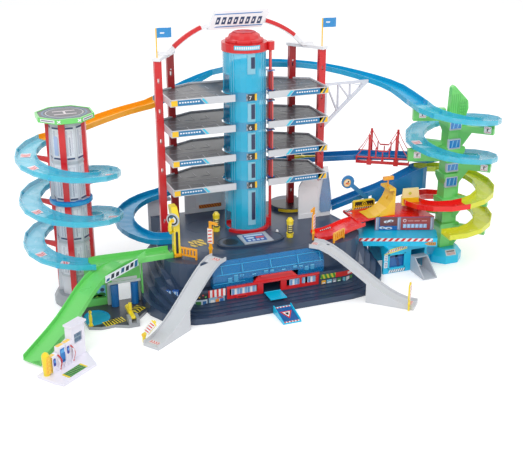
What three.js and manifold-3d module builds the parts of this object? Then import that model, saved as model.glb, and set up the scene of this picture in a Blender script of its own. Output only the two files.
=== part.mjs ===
// A toy parking garage: a podium with a lift and four parking decks, two spiral towers,
// a car wash, a filling station, a fire station and the tracks that join them.
// Millimetres. +X is to the right, +Y to the back, +Z up. The origin is on the lift's axis, on the floor.
import * as THREE from 'three';
import { mergeVertices } from 'three/addons/utils/BufferGeometryUtils.js';
import Module from 'manifold-3d';

const wasm = await Module();
wasm.setup();

// Sizes that the whole toy shares
const gap = 0.3;
const seam = 1;
const overrun = 4;
const turn = 2 * Math.PI;
const degree = Math.PI / 180;

// Podium and its ring of lanes
const podium = {
  height: 95, frontY: -215, backY: 118, halfWidth: 246, cornerRadius: 105,
  backHalf: 170, shoulderX: 240, shoulderY: 60,
  laneWidth: 12, laneCount: 5, roadHeight: 12, ridge: 1.5,
  frontInset: 60, backInset: 43, plinthInset: 49, plinthDepth: 13,
  ledgeX: 128, ledgeY: 72, ledgeRadius: 44, ledgeHeight: 9,
};
const laneRiseShares = [0.16, 0.36, 0.56, 0.75, 0.92];
const roomSpec = { left: -92, right: 86, depth: 78, ceiling: 8 };
const facade = {
  left: -98, right: 92, thickness: 4, height: 26, canopyRise: 14, canopyLeft: -45, canopyRight: 33,
  doorLeft: -24, doorRight: 12, doorHeight: 24, inset: 51, bar: 4, sill: 6,
};
const windowSpec = { left: -126, right: 101, thickness: 2.2, bulge: 9, cheek: 2.2, ribs: 4, ribDepth: 1.2, corner: 16 };
const flap = { thickness: 2, length: 33, side: 1.5, hingeRadius: 1.6 };
const exitRamp = { left: -24, right: 12, length: 50, thickness: 2, rim: 1.6, rimHeight: 3.5, height: 12 };

// Tracks are open channels
const track = { width: 38, wall: 1.8, floor: 2.4, lip: 8 };

// Grey ramps from the podium to the floor
const ramp = {
  width: 34, wall: 2, floor: 2.6, lip: 5, footHeight: 3, skirtStartShare: 0.6, landing: 16,
  leftTopX: -106, leftTopY: -145, leftFootX: -258, leftFootY: -253,
  rightTopX: 84, rightTopY: -145, rightFootX: 226, rightFootY: -277,
};

// Barriers, fences, posts
const barrier = {
  width: 5, thickness: 3, length: 54, footLength: 44, boardWidth: 12, boardLength: 30, boardStart: 10,
  bend: 16, hubRadius: 4.5, tail: 15, lean: 38,
};
const fence = { length: 36, height: 17, bar: 3, posts: 6, foot: 4 };
const bollard = { radius: 7, height: 34, leftX: -66, leftY: -10, rightX: 60, rightY: -92, waist: 1.2, dome: 7 };
const gantry = {
  x: -176, y: -104, width: 12, depth: 14, height: 96, slotWidth: 4, slotHeight: 46, headHeight: 34,
  headReach: 26, ringRadius: 12, ringTube: 3.2, plate: 3,
};

// Lift
const lift = {
  radius: 42, wall: 2, height: 371, doorHalfTurn: 27, doorHeight: 36,
  platformThickness: 4, platformGap: 1.2, curb: 4, curbWidth: 3, bay: 34,
  exitHeight: 38,
};
const collar = {
  radius: 44.4, height: 16, plate: 4, boreRadius: 8, rodRadius: 3, rodX: 46, rodY: -19, lugRadius: 8,
  sillHeight: 6, sillWidth: 7, sillEnd: 20, sillStart: -152, sillStop: -12,
  gateWidth: 27, gateHeight: 36, gateThickness: 2.2, gateLift: 3,
};
const knob = {
  radius: 37, height: 17, shaftRadius: 7, rim: 5, grips: 8, gripRadius: 2.2, spoolRadius: 25, spoolHeight: 12,
};

// Decks, pillars and the sign that spans them
const deck = {
  firstLevel: 200, pitch: 58.5, count: 4, thickness: 3.5, skirt: 10, rim: 3, rimWidth: 3,
  frontY: -43, backY: 92, chamferX: 84, chamferY: 50, mouth: 34, boreClearance: 4,
};
const pillar = {
  frontX: 168, frontY: 12, backX: 128, backY: 70, width: 14, depth: 10, top: 442,
  holeWidth: 3.6, holeHeight: 9,
};
const arch = {
  rise: 64, footX: 146, footY: 38, band: 8.5, depth: 7, bracket: 6, bracketWidth: 17,
  panelHalf: 62, panelHeight: 34, panelDepth: 9, panelSlant: 8, panelDrop: 23, footHeight: 12,
  poleRadius: 1.3, poleHeight: 54, flagWidth: 29, flagHeight: 18, flagThickness: 1.6, flagWave: 2.4,
};

// Walls on the podium
const backWall = { left: -98, right: -9, y: 103, thickness: 4, height: 50, arches: 3, archShare: 0.62, boardHeight: 9 };
const sideWall = {
  left: 114, right: 186, y: -8, thickness: 4, archTop: 80, tallHeight: 108, tallLeft: 162,
  paneTop: 96, paneBottom: 10, paneHalfTop: 4, paneHalfFoot: 13, paneThickness: 2.4,
};
const soundPanel = { x: -20, y: -82, length: 138, width: 60, height: 3, squareness: 0.75 };
const soundButton = { x: -9, y: -81, length: 60, width: 50, height: 4.5, travel: 2, recess: 5, clearance: 0.5 };

// Left tower
const leftTower = {
  x: -351, y: -22, radius: 31, top: 360, ribWidth: 11, ribDepth: 5, ribTurn: -111, footRadius: 46, footHeight: 22,
  padRadius: 54, padHeight: 9, padRim: 2, ringZ: 206, ringRadius: 37.5, ringHeight: 6,
  armWidth: 5, armDepth: 14, armReach: 62,
};
const leftHelix = { radius: 75, pitch: 83, start: 115, sweep: 888, top: 300, steps: 42 };

// Right tower
const rightTower = {
  x: 412, y: -100, width: 34, depth: 26, foot: 30, top: 304, flare: 5, storey: 55, storeys: 5,
  finHeight: 70, finWidth: 46, finDepth: 11, armWidth: 14, armHeight: 13, armTurn: -46, armReach: 84,
  footRadius: 39, footShoulder: 16, lug: 8, gusset: 34,
};
const upperHelix = { radius: 76, pitch: 78, start: -190, sweep: 640, top: 334.4, steps: 29 };
const lowerHelix = { radius: 76, pitch: -62, start: -95, sweep: 565, top: 81, steps: 25 };

// Rear loop, bridge and jump
const rearLoop = { x: -163, y: 50, radius: 75, start: 80, sweep: 185, high: 136, straight: 18 };
const bridge = {
  startX: 378, startY: 3, endX: 282, endY: 64, railHeight: 9, towerHeight: 58, towerWidth: 5, plate: 3,
  cable: 2.6, sag: 38, side: 24, hangers: 4,
};
const switchArm = { length: 84, width: 5, height: 5, fork: 30, pivotRadius: 5 };
const target = { radius: 14, thickness: 4, neck: 9, reach: 58, hub: 6, x: 262, y: -22.6, z: 130, lean: -48 };

// Car wash and pond, left front
const wash = {
  left: -307, right: -245, y: -79, depth: 8, post: 9, height: 46, beam: 5, plate: 6,
  rollerRadius: 7.5, rollerInset: 12, pin: 1.6, pinLength: 3,
};
const pond = { x: -337, y: -124, radiusX: 27, radiusY: 33, depth: 2.5 };
const lever = { x: -279, y: -157, length: 58, width: 8, height: 6, block: 20, blockHeight: 12, peg: 22, pegRadius: 3.5 };
const greenRamp = { footX: -471, footY: -246, footHeight: 3, width: 40, legThickness: 3 };
const washSign = { length: 72, height: 12, thickness: 3, rise: 36 };

// Filling station
const station = {
  x: -433, y: -335, turn: 37, length: 78, width: 56, slab: 5, shopLength: 34, shopDepth: 15, shopHeight: 60, tail: 22,
  roof: 3, pumpWidth: 15, pumpDepth: 10, pumpHeight: 34, pylonRadius: 6.5, pylonHeight: 40, hoseRadius: 1.5,
};

// Fire station, garage building and tunnel ramp, right front
const garage = {
  wallLeft: 250, wallRight: 350, wallFront: -135, wallBack: -66, wall: 3, slabTop: 80, slab: 18,
  doorLeft: 313, doorRight: 345, doorHeight: 46, windowLeft: 262, windowRight: 298, windowLow: 12, windowHigh: 40,
  slabFrontLeftX: 200, slabFrontLeftY: -112, slabFrontRightX: 350, slabFrontRightY: -172,
  slabBackRightX: 370, slabBackRightY: -134, slabRearX: 372, slabRearY: -66, slabLeftX: 214, slabLeftY: -28,
};
const fire = {
  roofTop: 110, roof: 5, rampFootX: 106, rampWidth: 46, rampFootY: -111, edgeX: 252, edgeY: -88,
  edgeRightX: 366, edgeRightY: -129, wall: 3, rail: 5, backY: -30, cornerX: 338, cornerY: -72, signLength: 50, signHeight: 16,
};
const chute = { x: 232, right: 292, front: -92, back: -52, height: 55, wall: 2.4, stem: 3, stemHeight: 16, grip: 22 };
const plunger = { travel: 8, grip: 7 };
const tunnel = { length: 56, height: 34, wall: 2.2, hood: 16, footHeight: 3 };
const truss = { high: 372, low: 282, reach: 112, depth: 5, bar: 5, cells: 3 };

// Colours of the mouldings
const colours = {
  navy: 0x33435c, clearBlue: 0x2a8fd0, red: 0xd8242a, white: 0xf2f2f4, grey: 0xb4b8bd, deckGrey: 0xc4c8cc,
  yellow: 0xf2c81e, orange: 0xf49a1c, green: 0x5cc25a, skyBlue: 0x57b8e4, blue: 0x1670c4, darkBlue: 0x14519c,
  cyan: 0x1fb2e2, lime: 0xdcdc2c, charcoal: 0x55585c,
};

// Helpers for solids

function toSolid(geometry) {
  const plain = geometry.index ? geometry.toNonIndexed() : geometry.clone();
  for (const name of Object.keys(plain.attributes)) {
    if (name !== 'position') plain.deleteAttribute(name);
  }
  const merged = mergeVertices(plain);
  const solid = new wasm.Manifold(new wasm.Mesh({
    numProp: 3,
    vertProperties: new Float32Array(merged.attributes.position.array),
    triVerts: new Uint32Array(merged.index.array),
  }));
  return solid;
}

function toGeometry(solid) {
  const mesh = solid.getMesh();
  const geometry = new THREE.BufferGeometry();
  geometry.setAttribute('position', new THREE.BufferAttribute(new Float32Array(mesh.vertProperties), mesh.numProp));
  geometry.setIndex(new THREE.BufferAttribute(new Uint32Array(mesh.triVerts), 1));
  return geometry;
}

function join(...geometries) {
  const solids = geometries.map(toSolid);
  return toGeometry(solids.reduce((whole, solid) => whole.add(solid)));
}

function cut(geometry, ...tools) {
  const solids = tools.map(toSolid);
  return toGeometry(solids.reduce((whole, solid) => whole.subtract(solid), toSolid(geometry)));
}

function clip(geometry, tool) {
  return toGeometry(toSolid(geometry).intersect(toSolid(tool)));
}

// Keeps the largest body of a junction and drops the slivers beside it
function largest(geometry) {
  const bodies = toSolid(geometry).decompose();
  return toGeometry(bodies.reduce((best, body) => (body.volume() > best.volume() ? body : best)));
}

// Closed solid through rings of points that all have the same count
function loft(rings) {
  const count = rings[0].length;
  const positions = [];
  const indices = [];
  for (const ring of rings) for (const p of ring) positions.push(p.x, p.y, p.z);
  for (let i = 0; i + 1 < rings.length; i += 1) {
    for (let j = 0; j < count; j += 1) {
      const a = i * count + j;
      const b = i * count + (j + 1) % count;
      indices.push(a, b, b + count, a, b + count, a + count);
    }
  }
  const cap = (ring, offset, flip) => {
    const centre = ring.reduce((sum, p) => sum.add(p), new THREE.Vector3()).divideScalar(count);
    const normal = new THREE.Vector3();
    for (let j = 0; j < count; j += 1) {
      const p = ring[j].clone().sub(centre);
      normal.add(p.cross(ring[(j + 1) % count].clone().sub(centre)));
    }
    normal.normalize();
    const side = new THREE.Vector3(0, 0, 1);
    if (Math.abs(normal.z) > 0.9) side.set(1, 0, 0);
    const u = new THREE.Vector3().crossVectors(side, normal).normalize();
    const v = new THREE.Vector3().crossVectors(normal, u);
    const flat = ring.map((p) => new THREE.Vector2(p.dot(u), p.dot(v)));
    for (const [a, b, c] of THREE.ShapeUtils.triangulateShape(flat, [])) {
      if (flip) indices.push(offset + a, offset + c, offset + b);
      else indices.push(offset + a, offset + b, offset + c);
    }
  };
  cap(rings[0], 0, true);
  cap(rings[rings.length - 1], (rings.length - 1) * count, false);
  const geometry = new THREE.BufferGeometry();
  geometry.setAttribute('position', new THREE.BufferAttribute(new Float32Array(positions), 3));
  geometry.setIndex(indices);
  return outward(geometry);
}

// Turns every face round when the volume comes out negative
function outward(geometry) {
  const p = geometry.attributes.position;
  const index = geometry.index.array;
  const [a, b, c] = [new THREE.Vector3(), new THREE.Vector3(), new THREE.Vector3()];
  let volume = 0;
  for (let i = 0; i < index.length; i += 3) {
    a.fromBufferAttribute(p, index[i]);
    b.fromBufferAttribute(p, index[i + 1]);
    c.fromBufferAttribute(p, index[i + 2]);
    volume += a.dot(b.cross(c));
  }
  if (volume < 0) {
    for (let i = 0; i < index.length; i += 3) [index[i + 1], index[i + 2]] = [index[i + 2], index[i + 1]];
  }
  return geometry;
}

// Level directions of travel along a path, and the sweep of an upright section along it
function headings(path) {
  return path.map((p, i) => {
    if (p.way) return p.way;
    const before = path[Math.max(i - 1, 0)];
    const after = path[Math.min(i + 1, path.length - 1)];
    return new THREE.Vector2(after.x - before.x, after.y - before.y).normalize();
  });
}

function sweep(path, sectionAt) {
  const ways = headings(path);
  return loft(path.map((p, i) => {
    const section = typeof sectionAt === 'function' ? sectionAt(i / (path.length - 1), p) : sectionAt;
    return section.map(([across, up]) => new THREE.Vector3(
      p.x + ways[i].y * across, p.y - ways[i].x * across, p.z + up));
  }));
}

// U section of a track, measured from the middle of its underside
function channelSection(width = track.width, wall = track.wall, floor = track.floor, lip = track.lip) {
  const half = width / 2;
  const top = floor + lip;
  return [[-half, 0], [half, 0], [half, top], [half - wall, top], [half - wall, floor],
    [wall - half, floor], [wall - half, top], [-half, top]];
}

function channel(path, width, wall, floor, lip) {
  return sweep(path, channelSection(width, wall, floor, lip));
}

// The block that a channel would fill, and the way that a car takes through it
function channelBlock(path, width = track.width) {
  const half = width / 2;
  const top = track.floor + track.lip;
  return sweep(path, [[-half, 0], [half, 0], [half, top], [-half, top]]);
}

function channelWay(path, width = track.width) {
  const half = width / 2 - track.wall;
  const top = track.floor + track.lip + overrun;
  return sweep(path, [[-half, track.floor], [half, track.floor], [half, top], [-half, top]]);
}

function helixPoint(tower, helix, angle) {
  const p = new THREE.Vector3(
    tower.x + helix.radius * Math.cos(angle * degree),
    tower.y + helix.radius * Math.sin(angle * degree),
    helix.top - helix.pitch * (angle - helix.start) / 360);
  p.way = new THREE.Vector2(-Math.sin(angle * degree), Math.cos(angle * degree));
  return p;
}

function helixPath(tower, helix) {
  const path = [];
  for (let i = 0; i <= helix.steps; i += 1) {
    path.push(helixPoint(tower, helix, helix.start + helix.sweep * i / helix.steps));
  }
  return path;
}

// A point ahead of, or behind, the end of a helix along its own level heading
function helixLead(tower, helix, angle, distance) {
  const p = helixPoint(tower, helix, angle);
  p.x -= Math.sin(angle * degree) * distance;
  p.y += Math.cos(angle * degree) * distance;
  return p;
}

function curve(points, steps) {
  return new THREE.CatmullRomCurve3(points, false, 'centripetal').getPoints(steps);
}

// Curve whose first and last stretches stay straight, so that its ends are square to them
function squareEnded(points, steps) {
  const path = [points[0], ...curve(points.slice(1, -1), steps - 2), points[points.length - 1]];
  const last = path.length - 1;
  for (const [end, next, from, to] of [[0, 1, 0, 1], [last, last - 1, last - 1, last]]) {
    const way = new THREE.Vector2(path[to].x - path[from].x, path[to].y - path[from].y).normalize();
    path[end].way = way;
    path[next].way = way;
  }
  return path;
}

function vector(x, y, z) {
  return new THREE.Vector3(x, y, z);
}

function toShape(points) {
  return new THREE.Shape(points.map(([x, y]) => new THREE.Vector2(x, y)));
}

// Outline in plan, from one height to another
function slab(points, low, high) {
  const geometry = new THREE.ExtrudeGeometry(toShape(points), { depth: high - low, bevelEnabled: false });
  return geometry.translate(0, 0, low);
}

// Outline in X and Z, from a front plane to a back plane
function upright(points, front, back, holes = []) {
  const geometry = new THREE.ExtrudeGeometry(toShape(points), { depth: back - front, bevelEnabled: false });
  geometry.rotateX(Math.PI / 2).translate(0, back, 0);
  if (!holes.length) return geometry;
  return cut(geometry, ...holes.map((hole) => upright(hole, front - overrun, back + overrun)));
}

// Outline in Y and Z, from a left plane to a right plane
function crosswise(points, left, right) {
  const geometry = new THREE.ExtrudeGeometry(toShape(points), { depth: right - left, bevelEnabled: false });
  return geometry.rotateX(Math.PI / 2).rotateZ(Math.PI / 2).translate(left, 0, 0);
}

function box(left, right, front, back, low, high) {
  const geometry = new THREE.BoxGeometry(right - left, back - front, high - low);
  return geometry.translate((left + right) / 2, (front + back) / 2, (low + high) / 2);
}

function drum(x, y, radius, low, high, sides = 24) {
  const geometry = new THREE.CylinderGeometry(radius, radius, high - low, sides);
  return geometry.rotateX(Math.PI / 2).translate(x, y, (low + high) / 2);
}

function turned(x, y, low, profile, sides = 24) {
  const points = profile.map(([r, z]) => new THREE.Vector2(r, z));
  return new THREE.LatheGeometry(points, sides).rotateX(Math.PI / 2).translate(x, y, low);
}

function arcPoints(x, y, radius, from, to, steps) {
  const points = [];
  for (let i = 0; i <= steps; i += 1) {
    const angle = (from + (to - from) * i / steps) * degree;
    points.push([x + radius * Math.cos(angle), y + radius * Math.sin(angle)]);
  }
  return points;
}

function mix(a, b, share) {
  return a + (b - a) * share;
}

function smooth(share) {
  const s = Math.min(Math.max(share, 0), 1);
  return s * s * (3 - 2 * s);
}

function placed(geometry, angle, x, y, z = 0) {
  return geometry.rotateZ(angle * degree).translate(x, y, z);
}

const group = new THREE.Group();
group.name = 'toy_parking_garage';

function add(name, geometry, colour, roughness = 0.38, opacity = 1) {
  const material = new THREE.MeshStandardMaterial({
    color: colour, roughness, metalness: 0, transparent: opacity < 1, opacity,
  });
  const mesh = new THREE.Mesh(geometry, material);
  mesh.name = name;
  group.add(mesh);
  return mesh;
}

// Podium

// Outer edge in plan, from the back left round the front to the back right, with its inward normals
function podiumEdge() {
  const cornerX = podium.halfWidth - podium.cornerRadius;
  const cornerY = podium.frontY + podium.cornerRadius;
  const left = new THREE.QuadraticBezierCurve(
    new THREE.Vector2(-podium.backHalf, podium.backY),
    new THREE.Vector2(-podium.shoulderX, podium.shoulderY),
    new THREE.Vector2(-podium.halfWidth, cornerY));
  const half = [];
  const steps = 5;
  for (let i = 0; i < steps; i += 1) {
    const p = left.getPoint(i / steps);
    const along = left.getTangent(i / steps);
    half.push({ x: p.x, y: p.y, inX: -along.y, inY: along.x });
  }
  for (const [x, y] of arcPoints(-cornerX, cornerY, podium.cornerRadius, 180, 270, 5)) {
    half.push({ x, y, inX: (-cornerX - x) / podium.cornerRadius, inY: (cornerY - y) / podium.cornerRadius });
  }
  return [...half, ...half.map((p) => ({ x: -p.x, y: p.y, inX: -p.inX, inY: p.inY })).reverse()];
}

function podiumRise(y) {
  return smooth((y - podium.frontY) / podium.cornerRadius);
}

function laneSection(y) {
  const section = [[0, 0]];
  for (let lane = 0; lane < podium.laneCount; lane += 1) {
    const flat = podium.roadHeight + lane * podium.ridge;
    const z = mix(flat, flat + (podium.height - flat) * laneRiseShares[lane], podiumRise(y));
    section.push([lane * podium.laneWidth, z], [(lane + 1) * podium.laneWidth, z]);
  }
  section.push([podium.laneCount * podium.laneWidth, 0]);
  return section;
}

function ringLoft(edge, sectionAt) {
  return loft(edge.map((p) => sectionAt(p).map(([offset, z]) => (
    new THREE.Vector3(p.x + p.inX * offset, p.y + p.inY * offset, z)))));
}

const edge = podiumEdge();
const facadeFront = podium.frontY + facade.inset;
const facadeBack = facadeFront + facade.thickness;
const facadeFoot = podium.roadHeight + (podium.laneCount - 1) * podium.ridge;
const facadeTop = facadeFoot + gap + facade.height;
const podiumFront = podium.frontY + podium.frontInset;

function podiumPlan(inset) {
  const back = edge[0];
  return [
    [back.x + back.inX, back.y - back.inX], ...edge.map((p) => [p.x + p.inX * inset(p.y), p.y + p.inY * inset(p.y)]),
    [-back.x - back.inX, back.y - back.inX],
  ];
}

const podiumInset = (y) => mix(podium.frontInset, podium.backInset, smooth((y - podium.frontY) / podium.backY));

// Lanes, block and plinth without their openings, grown all round by a clearance
function podiumMass(clearance) {
  const lanes = ringLoft(edge, (p) => laneSection(p.y).map(([offset, z], i) => [offset - (i < 2 ? clearance : 0),
    z + (z > 0 ? clearance : 0)]));
  const top = slab(podiumPlan((y) => podiumInset(y) - clearance), 0, podium.height + clearance);
  const out = podium.plinthInset - clearance;
  const high = facadeTop + clearance;
  const plinth = ringLoft(edge.filter((p) => p.y < 0), () => [
    [out, 0], [out, high], [out + podium.plinthDepth, high], [out + podium.plinthDepth, 0]]);
  return join(lanes, top, cut(plinth,
    box(facade.left - gap, facade.right + gap, podium.frontY, podiumFront - clearance, facadeFoot + clearance, podium.height)));
}

function baseMoulding() {
  const ledge = drum(podium.ledgeX, podium.ledgeY, podium.ledgeRadius, podium.height - overrun,
    podium.height + podium.ledgeHeight, 20);
  const ledgeClipped = clip(ledge, slab(podiumPlan(podiumInset), 0, podium.height + podium.ledgeHeight * 2));
  const room = box(roomSpec.left, roomSpec.right, podiumFront - overrun, podiumFront + roomSpec.depth,
    facadeFoot, podium.height - roomSpec.ceiling);
  const pocket = box(
    soundButton.x - soundButton.length / 2 - soundButton.clearance,
    soundButton.x + soundButton.length / 2 + soundButton.clearance,
    soundButton.y - soundButton.width / 2 - soundButton.clearance,
    soundButton.y + soundButton.width / 2 + soundButton.clearance,
    podium.height - soundButton.recess, podium.height + overrun);
  return cut(join(podiumMass(0), ledgeClipped), room, pocket);
}

// Shop front with its door, two shop windows and a raised canopy over the door
function shopFront() {
  const low = facadeFoot + gap;
  const top = facadeTop;
  const outline = [
    [facade.left, low], [facade.doorLeft, low], [facade.doorLeft, low + facade.doorHeight],
    [facade.doorRight, low + facade.doorHeight], [facade.doorRight, low], [facade.right, low],
    [facade.right, top], [facade.canopyRight + facade.canopyRise, top], [facade.canopyRight, top + facade.canopyRise],
    [facade.canopyLeft + facade.canopyRise, top + facade.canopyRise], [facade.canopyLeft, top], [facade.left, top],
  ];
  const pane = (left, right) => [
    [left, low + facade.sill], [right, low + facade.sill], [right, top - facade.sill], [left, top - facade.sill],
  ];
  const middle = (facade.doorRight + facade.right) / 2;
  const holes = [
    pane(facade.left + facade.sill, facade.doorLeft - facade.sill * 2),
    pane(facade.doorRight + facade.sill * 2, middle),
    pane(middle + facade.bar, facade.right - facade.sill),
  ];
  const wall = upright(outline, facadeFront, facadeBack, holes);
  const awning = box(facade.left, facade.right, facadeFront - facade.bar / 2, facadeFront + gap, top - facade.bar, top);
  const hood = box(facade.canopyLeft + facade.canopyRise, facade.canopyRight, facadeFront - facade.bar,
    facadeFront + gap, top + facade.canopyRise - facade.bar, top + facade.canopyRise);
  return join(wall, awning, hood);
}

// Clear front window: a bent pane from the podium's edge down to the shop front, with cheeks and ribs
function frontWindow() {
  const high = podium.height - gap * 2;
  const low = facadeTop + gap;
  const front = facadeFront;
  const outer = [];
  const steps = 4;
  for (let i = 0; i <= steps; i += 1) {
    const s = i / steps;
    const bow = Math.sin(s * Math.PI) * windowSpec.bulge / 2;
    outer.push([mix(podiumFront - gap, front, smooth(s * 1.4)) - bow, mix(high, low, s)]);
  }
  const inner = outer.map(([y, z]) => [Math.min(y + windowSpec.thickness, podiumFront - gap), z]);
  inner[0] = [podiumFront - gap, high - windowSpec.thickness];
  const pane = crosswise([...outer, ...inner.slice(1).reverse(), inner[0]], windowSpec.left, windowSpec.right);
  const cheekOutline = [...outer, [podiumFront - gap, low]];
  const left = crosswise(cheekOutline, windowSpec.left, windowSpec.left + windowSpec.cheek);
  const right = crosswise(cheekOutline, windowSpec.right - windowSpec.cheek, windowSpec.right);
  const canopy = box(facade.canopyLeft - gap, facade.canopyRight + facade.canopyRise + gap, front - windowSpec.bulge,
    facadeBack + gap, low - overrun, facadeTop + facade.canopyRise + gap);
  const ribs = [];
  for (let i = 1; i < windowSpec.ribs; i += 1) {
    const x = mix(windowSpec.left, windowSpec.right, i / windowSpec.ribs);
    const shifted = outer.map(([y, z]) => [y - windowSpec.ribDepth, z]);
    ribs.push(crosswise([...shifted, ...outer.map(([y, z]) => [Math.min(y + windowSpec.thickness / 2, podiumFront - gap), z]).reverse()],
      x, x + windowSpec.cheek));
  }
  const corner = upright([[windowSpec.left - overrun, high + overrun], [windowSpec.left + windowSpec.corner, high + overrun],
    [windowSpec.left - overrun, high - windowSpec.corner]], front - windowSpec.bulge * 2, podiumFront);
  return cut(join(pane, left, right, ...ribs), canopy, corner);
}

// Fold-down door flap, lying open on the lanes
const flapZ = facadeFoot + gap + flap.hingeRadius;
const flapY = facadeFront - flap.hingeRadius - gap * 2;

function doorFlap() {
  const left = facade.doorLeft + flap.side;
  const right = facade.doorRight - flap.side;
  const board = box(left, right, flapY - flap.length, flapY, flapZ - flap.thickness / 2, flapZ + flap.thickness / 2);
  const roll = new THREE.CylinderGeometry(flap.hingeRadius, flap.hingeRadius, right - left, 12);
  roll.rotateZ(Math.PI / 2).translate((left + right) / 2, flapY, flapZ);
  return join(board, roll);
}

function exitRampPlate() {
  const back = podium.frontY - gap;
  const front = back - exitRamp.length;
  const profile = [[front, 0], [back, 0], [back, exitRamp.height], [front, exitRamp.thickness]];
  const wedge = crosswise(profile, exitRamp.left, exitRamp.right);
  const hollow = crosswise(
    [[front + exitRamp.length / 4, -overrun], [back - exitRamp.thickness, -overrun],
      [back - exitRamp.thickness, exitRamp.height - exitRamp.thickness * 2]],
    exitRamp.left + exitRamp.rim, exitRamp.right - exitRamp.rim);
  const rim = (left) => crosswise(
    [[front, 0], [back, 0], [back, exitRamp.height + exitRamp.rimHeight],
      [front + exitRamp.rimHeight, exitRamp.thickness + exitRamp.rimHeight], [front, exitRamp.thickness]],
    left, left + exitRamp.rim);
  return join(cut(wedge, hollow), rim(exitRamp.left), rim(exitRamp.right - exitRamp.rim));
}

// Grey ramp: a channel that falls gently at both ends, with two skirts under its lower half
function rampPiece(topX, topY, footX, footY) {
  const length = Math.hypot(footX - topX, footY - topY);
  const wayX = (footX - topX) / length;
  const wayY = (footY - topY) / length;
  const steps = 10;
  const heightAt = (s) => {
    const drop = mix(s, smooth(s), 0.7);
    return mix(podium.height + gap, ramp.footHeight, Math.max(0, (drop - 0.06) / 0.94));
  };
  const at = (s) => vector(mix(topX, footX, s), mix(topY, footY, s), heightAt(s));
  const path = [];
  for (let i = 0; i <= steps; i += 1) path.push(at(i / steps));
  const end = path[steps].clone();
  path.push(vector(end.x + wayX * ramp.landing, end.y + wayY * ramp.landing, end.z));
  const body = channel(path, ramp.width, ramp.wall, ramp.floor, ramp.lip);
  const low = path.filter((p, i) => i / steps >= ramp.skirtStartShare);
  const half = ramp.width / 2;
  const skirt = (inner, outer) => sweep(low, (s, p) => [
    [inner, -p.z], [outer, -p.z], [outer, ramp.floor / 2], [inner, ramp.floor / 2]]);
  const cross = sweep([low[0], low[0].clone().add(vector(wayX * ramp.wall, wayY * ramp.wall, 0))], (s, p) => [
    [-half, -low[0].z], [half, -low[0].z], [half, ramp.floor / 2], [-half, ramp.floor / 2]]);
  const toe = sweep([path[path.length - 2], path[path.length - 1]], (s, p) => [
    [-half, -p.z], [half, -p.z], [half, ramp.floor / 2], [-half, ramp.floor / 2]]);
  return largest(cut(join(body, skirt(-half, ramp.wall - half), skirt(half - ramp.wall, half), cross, toe), podiumMass(gap)));
}

// Barrier arm on its hub, drawn in its own plane: X across the road, Z up, with a round-ended stalk below
function barrierArm(length, bent, lean) {
  const half = barrier.width / 2;
  const thick = barrier.thickness / 2;
  const arm = box(-half, half, -thick, thick, 0, length);
  const board = box(-barrier.boardWidth / 2, barrier.boardWidth / 2, -thick, thick,
    barrier.boardStart, barrier.boardStart + barrier.boardLength);
  const hub = new THREE.CylinderGeometry(barrier.hubRadius, barrier.hubRadius, barrier.thickness, 12);
  const parts = [arm, board, hub];
  if (bent) parts.push(box(-half, barrier.bend, -thick, thick, length - barrier.width, length));
  const raised = parts.map((piece) => piece.rotateY(lean * degree));
  const stalk = box(-half, half, -thick, thick, half - barrier.tail, 0);
  const toe = new THREE.CylinderGeometry(half, half, barrier.thickness, 10).translate(0, 0, half - barrier.tail);
  return join(...raised, stalk, toe);
}

// Fence panel with upright bars between two rails, on feet
function fencePanel() {
  const half = fence.length / 2;
  const bars = [];
  for (let i = 0; i < fence.posts; i += 1) {
    const x = mix(-half, half - fence.bar, i / (fence.posts - 1));
    bars.push(box(x, x + fence.bar, -fence.bar / 2, fence.bar / 2, i % (fence.posts - 1) ? fence.foot : 0,
      fence.foot + fence.height));
  }
  const rail = (z) => box(-half, half, -fence.bar / 2, fence.bar / 2, z, z + fence.bar);
  return join(...bars, rail(fence.foot), rail(fence.foot + fence.height - fence.bar));
}

function bollardPost() {
  const r = bollard.radius;
  const h = bollard.height;
  const neck = r - bollard.waist;
  return [[0, 0], [r, 0], [r, bollard.dome / 2], [neck, bollard.dome], [neck, h - bollard.dome], [r, h - bollard.dome],
    [r, h], [r - bollard.waist, h + bollard.dome / 2], [r / 2, h + bollard.dome], [0, h + bollard.dome]];
}

// Yellow gantry: a slotted mast with a leaning head that holds a ring, and the fence beside it
function gantryPiece() {
  const { x, y, width, depth, height } = gantry;
  const foot = podium.height + gap;
  const mast = cut(box(x - width / 2, x + width / 2, y - depth / 2, y + depth / 2, foot, foot + height - gantry.headHeight),
    box(x - gantry.slotWidth / 2, x + gantry.slotWidth / 2, y - depth, y + depth,
      foot + gantry.plate * 2, foot + gantry.plate * 2 + gantry.slotHeight));
  const head = crosswise([
    [y - depth / 2, foot + height - gantry.headHeight - gantry.plate], [y + depth / 2, foot + height - gantry.headHeight - gantry.plate],
    [y + gantry.headReach, foot + height - gantry.plate * 2], [y + gantry.headReach, foot + height],
    [y + depth / 2, foot + height], [y - depth / 2, foot + height - gantry.headHeight / 2]],
  x - width / 2, x + width / 2);
  const ring = new THREE.TorusGeometry(gantry.ringRadius, gantry.ringTube, 4, 10);
  ring.rotateY(Math.PI / 2).rotateZ(-turn / 12).translate(x - width / 2 - gantry.ringTube, y - depth / 4,
    foot + height - gantry.headHeight);
  const panel = placed(fencePanel(), -46, x + width / 2 + fence.length / 3, y - depth / 2 - fence.length / 3, foot);
  const tie = box(x - width / 2, x + width / 2, y - depth / 2 - fence.bar * 2, y, foot + fence.foot, foot + fence.foot * 2);
  return join(mast, head, ring, panel, tie);
}

// Lift

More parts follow.
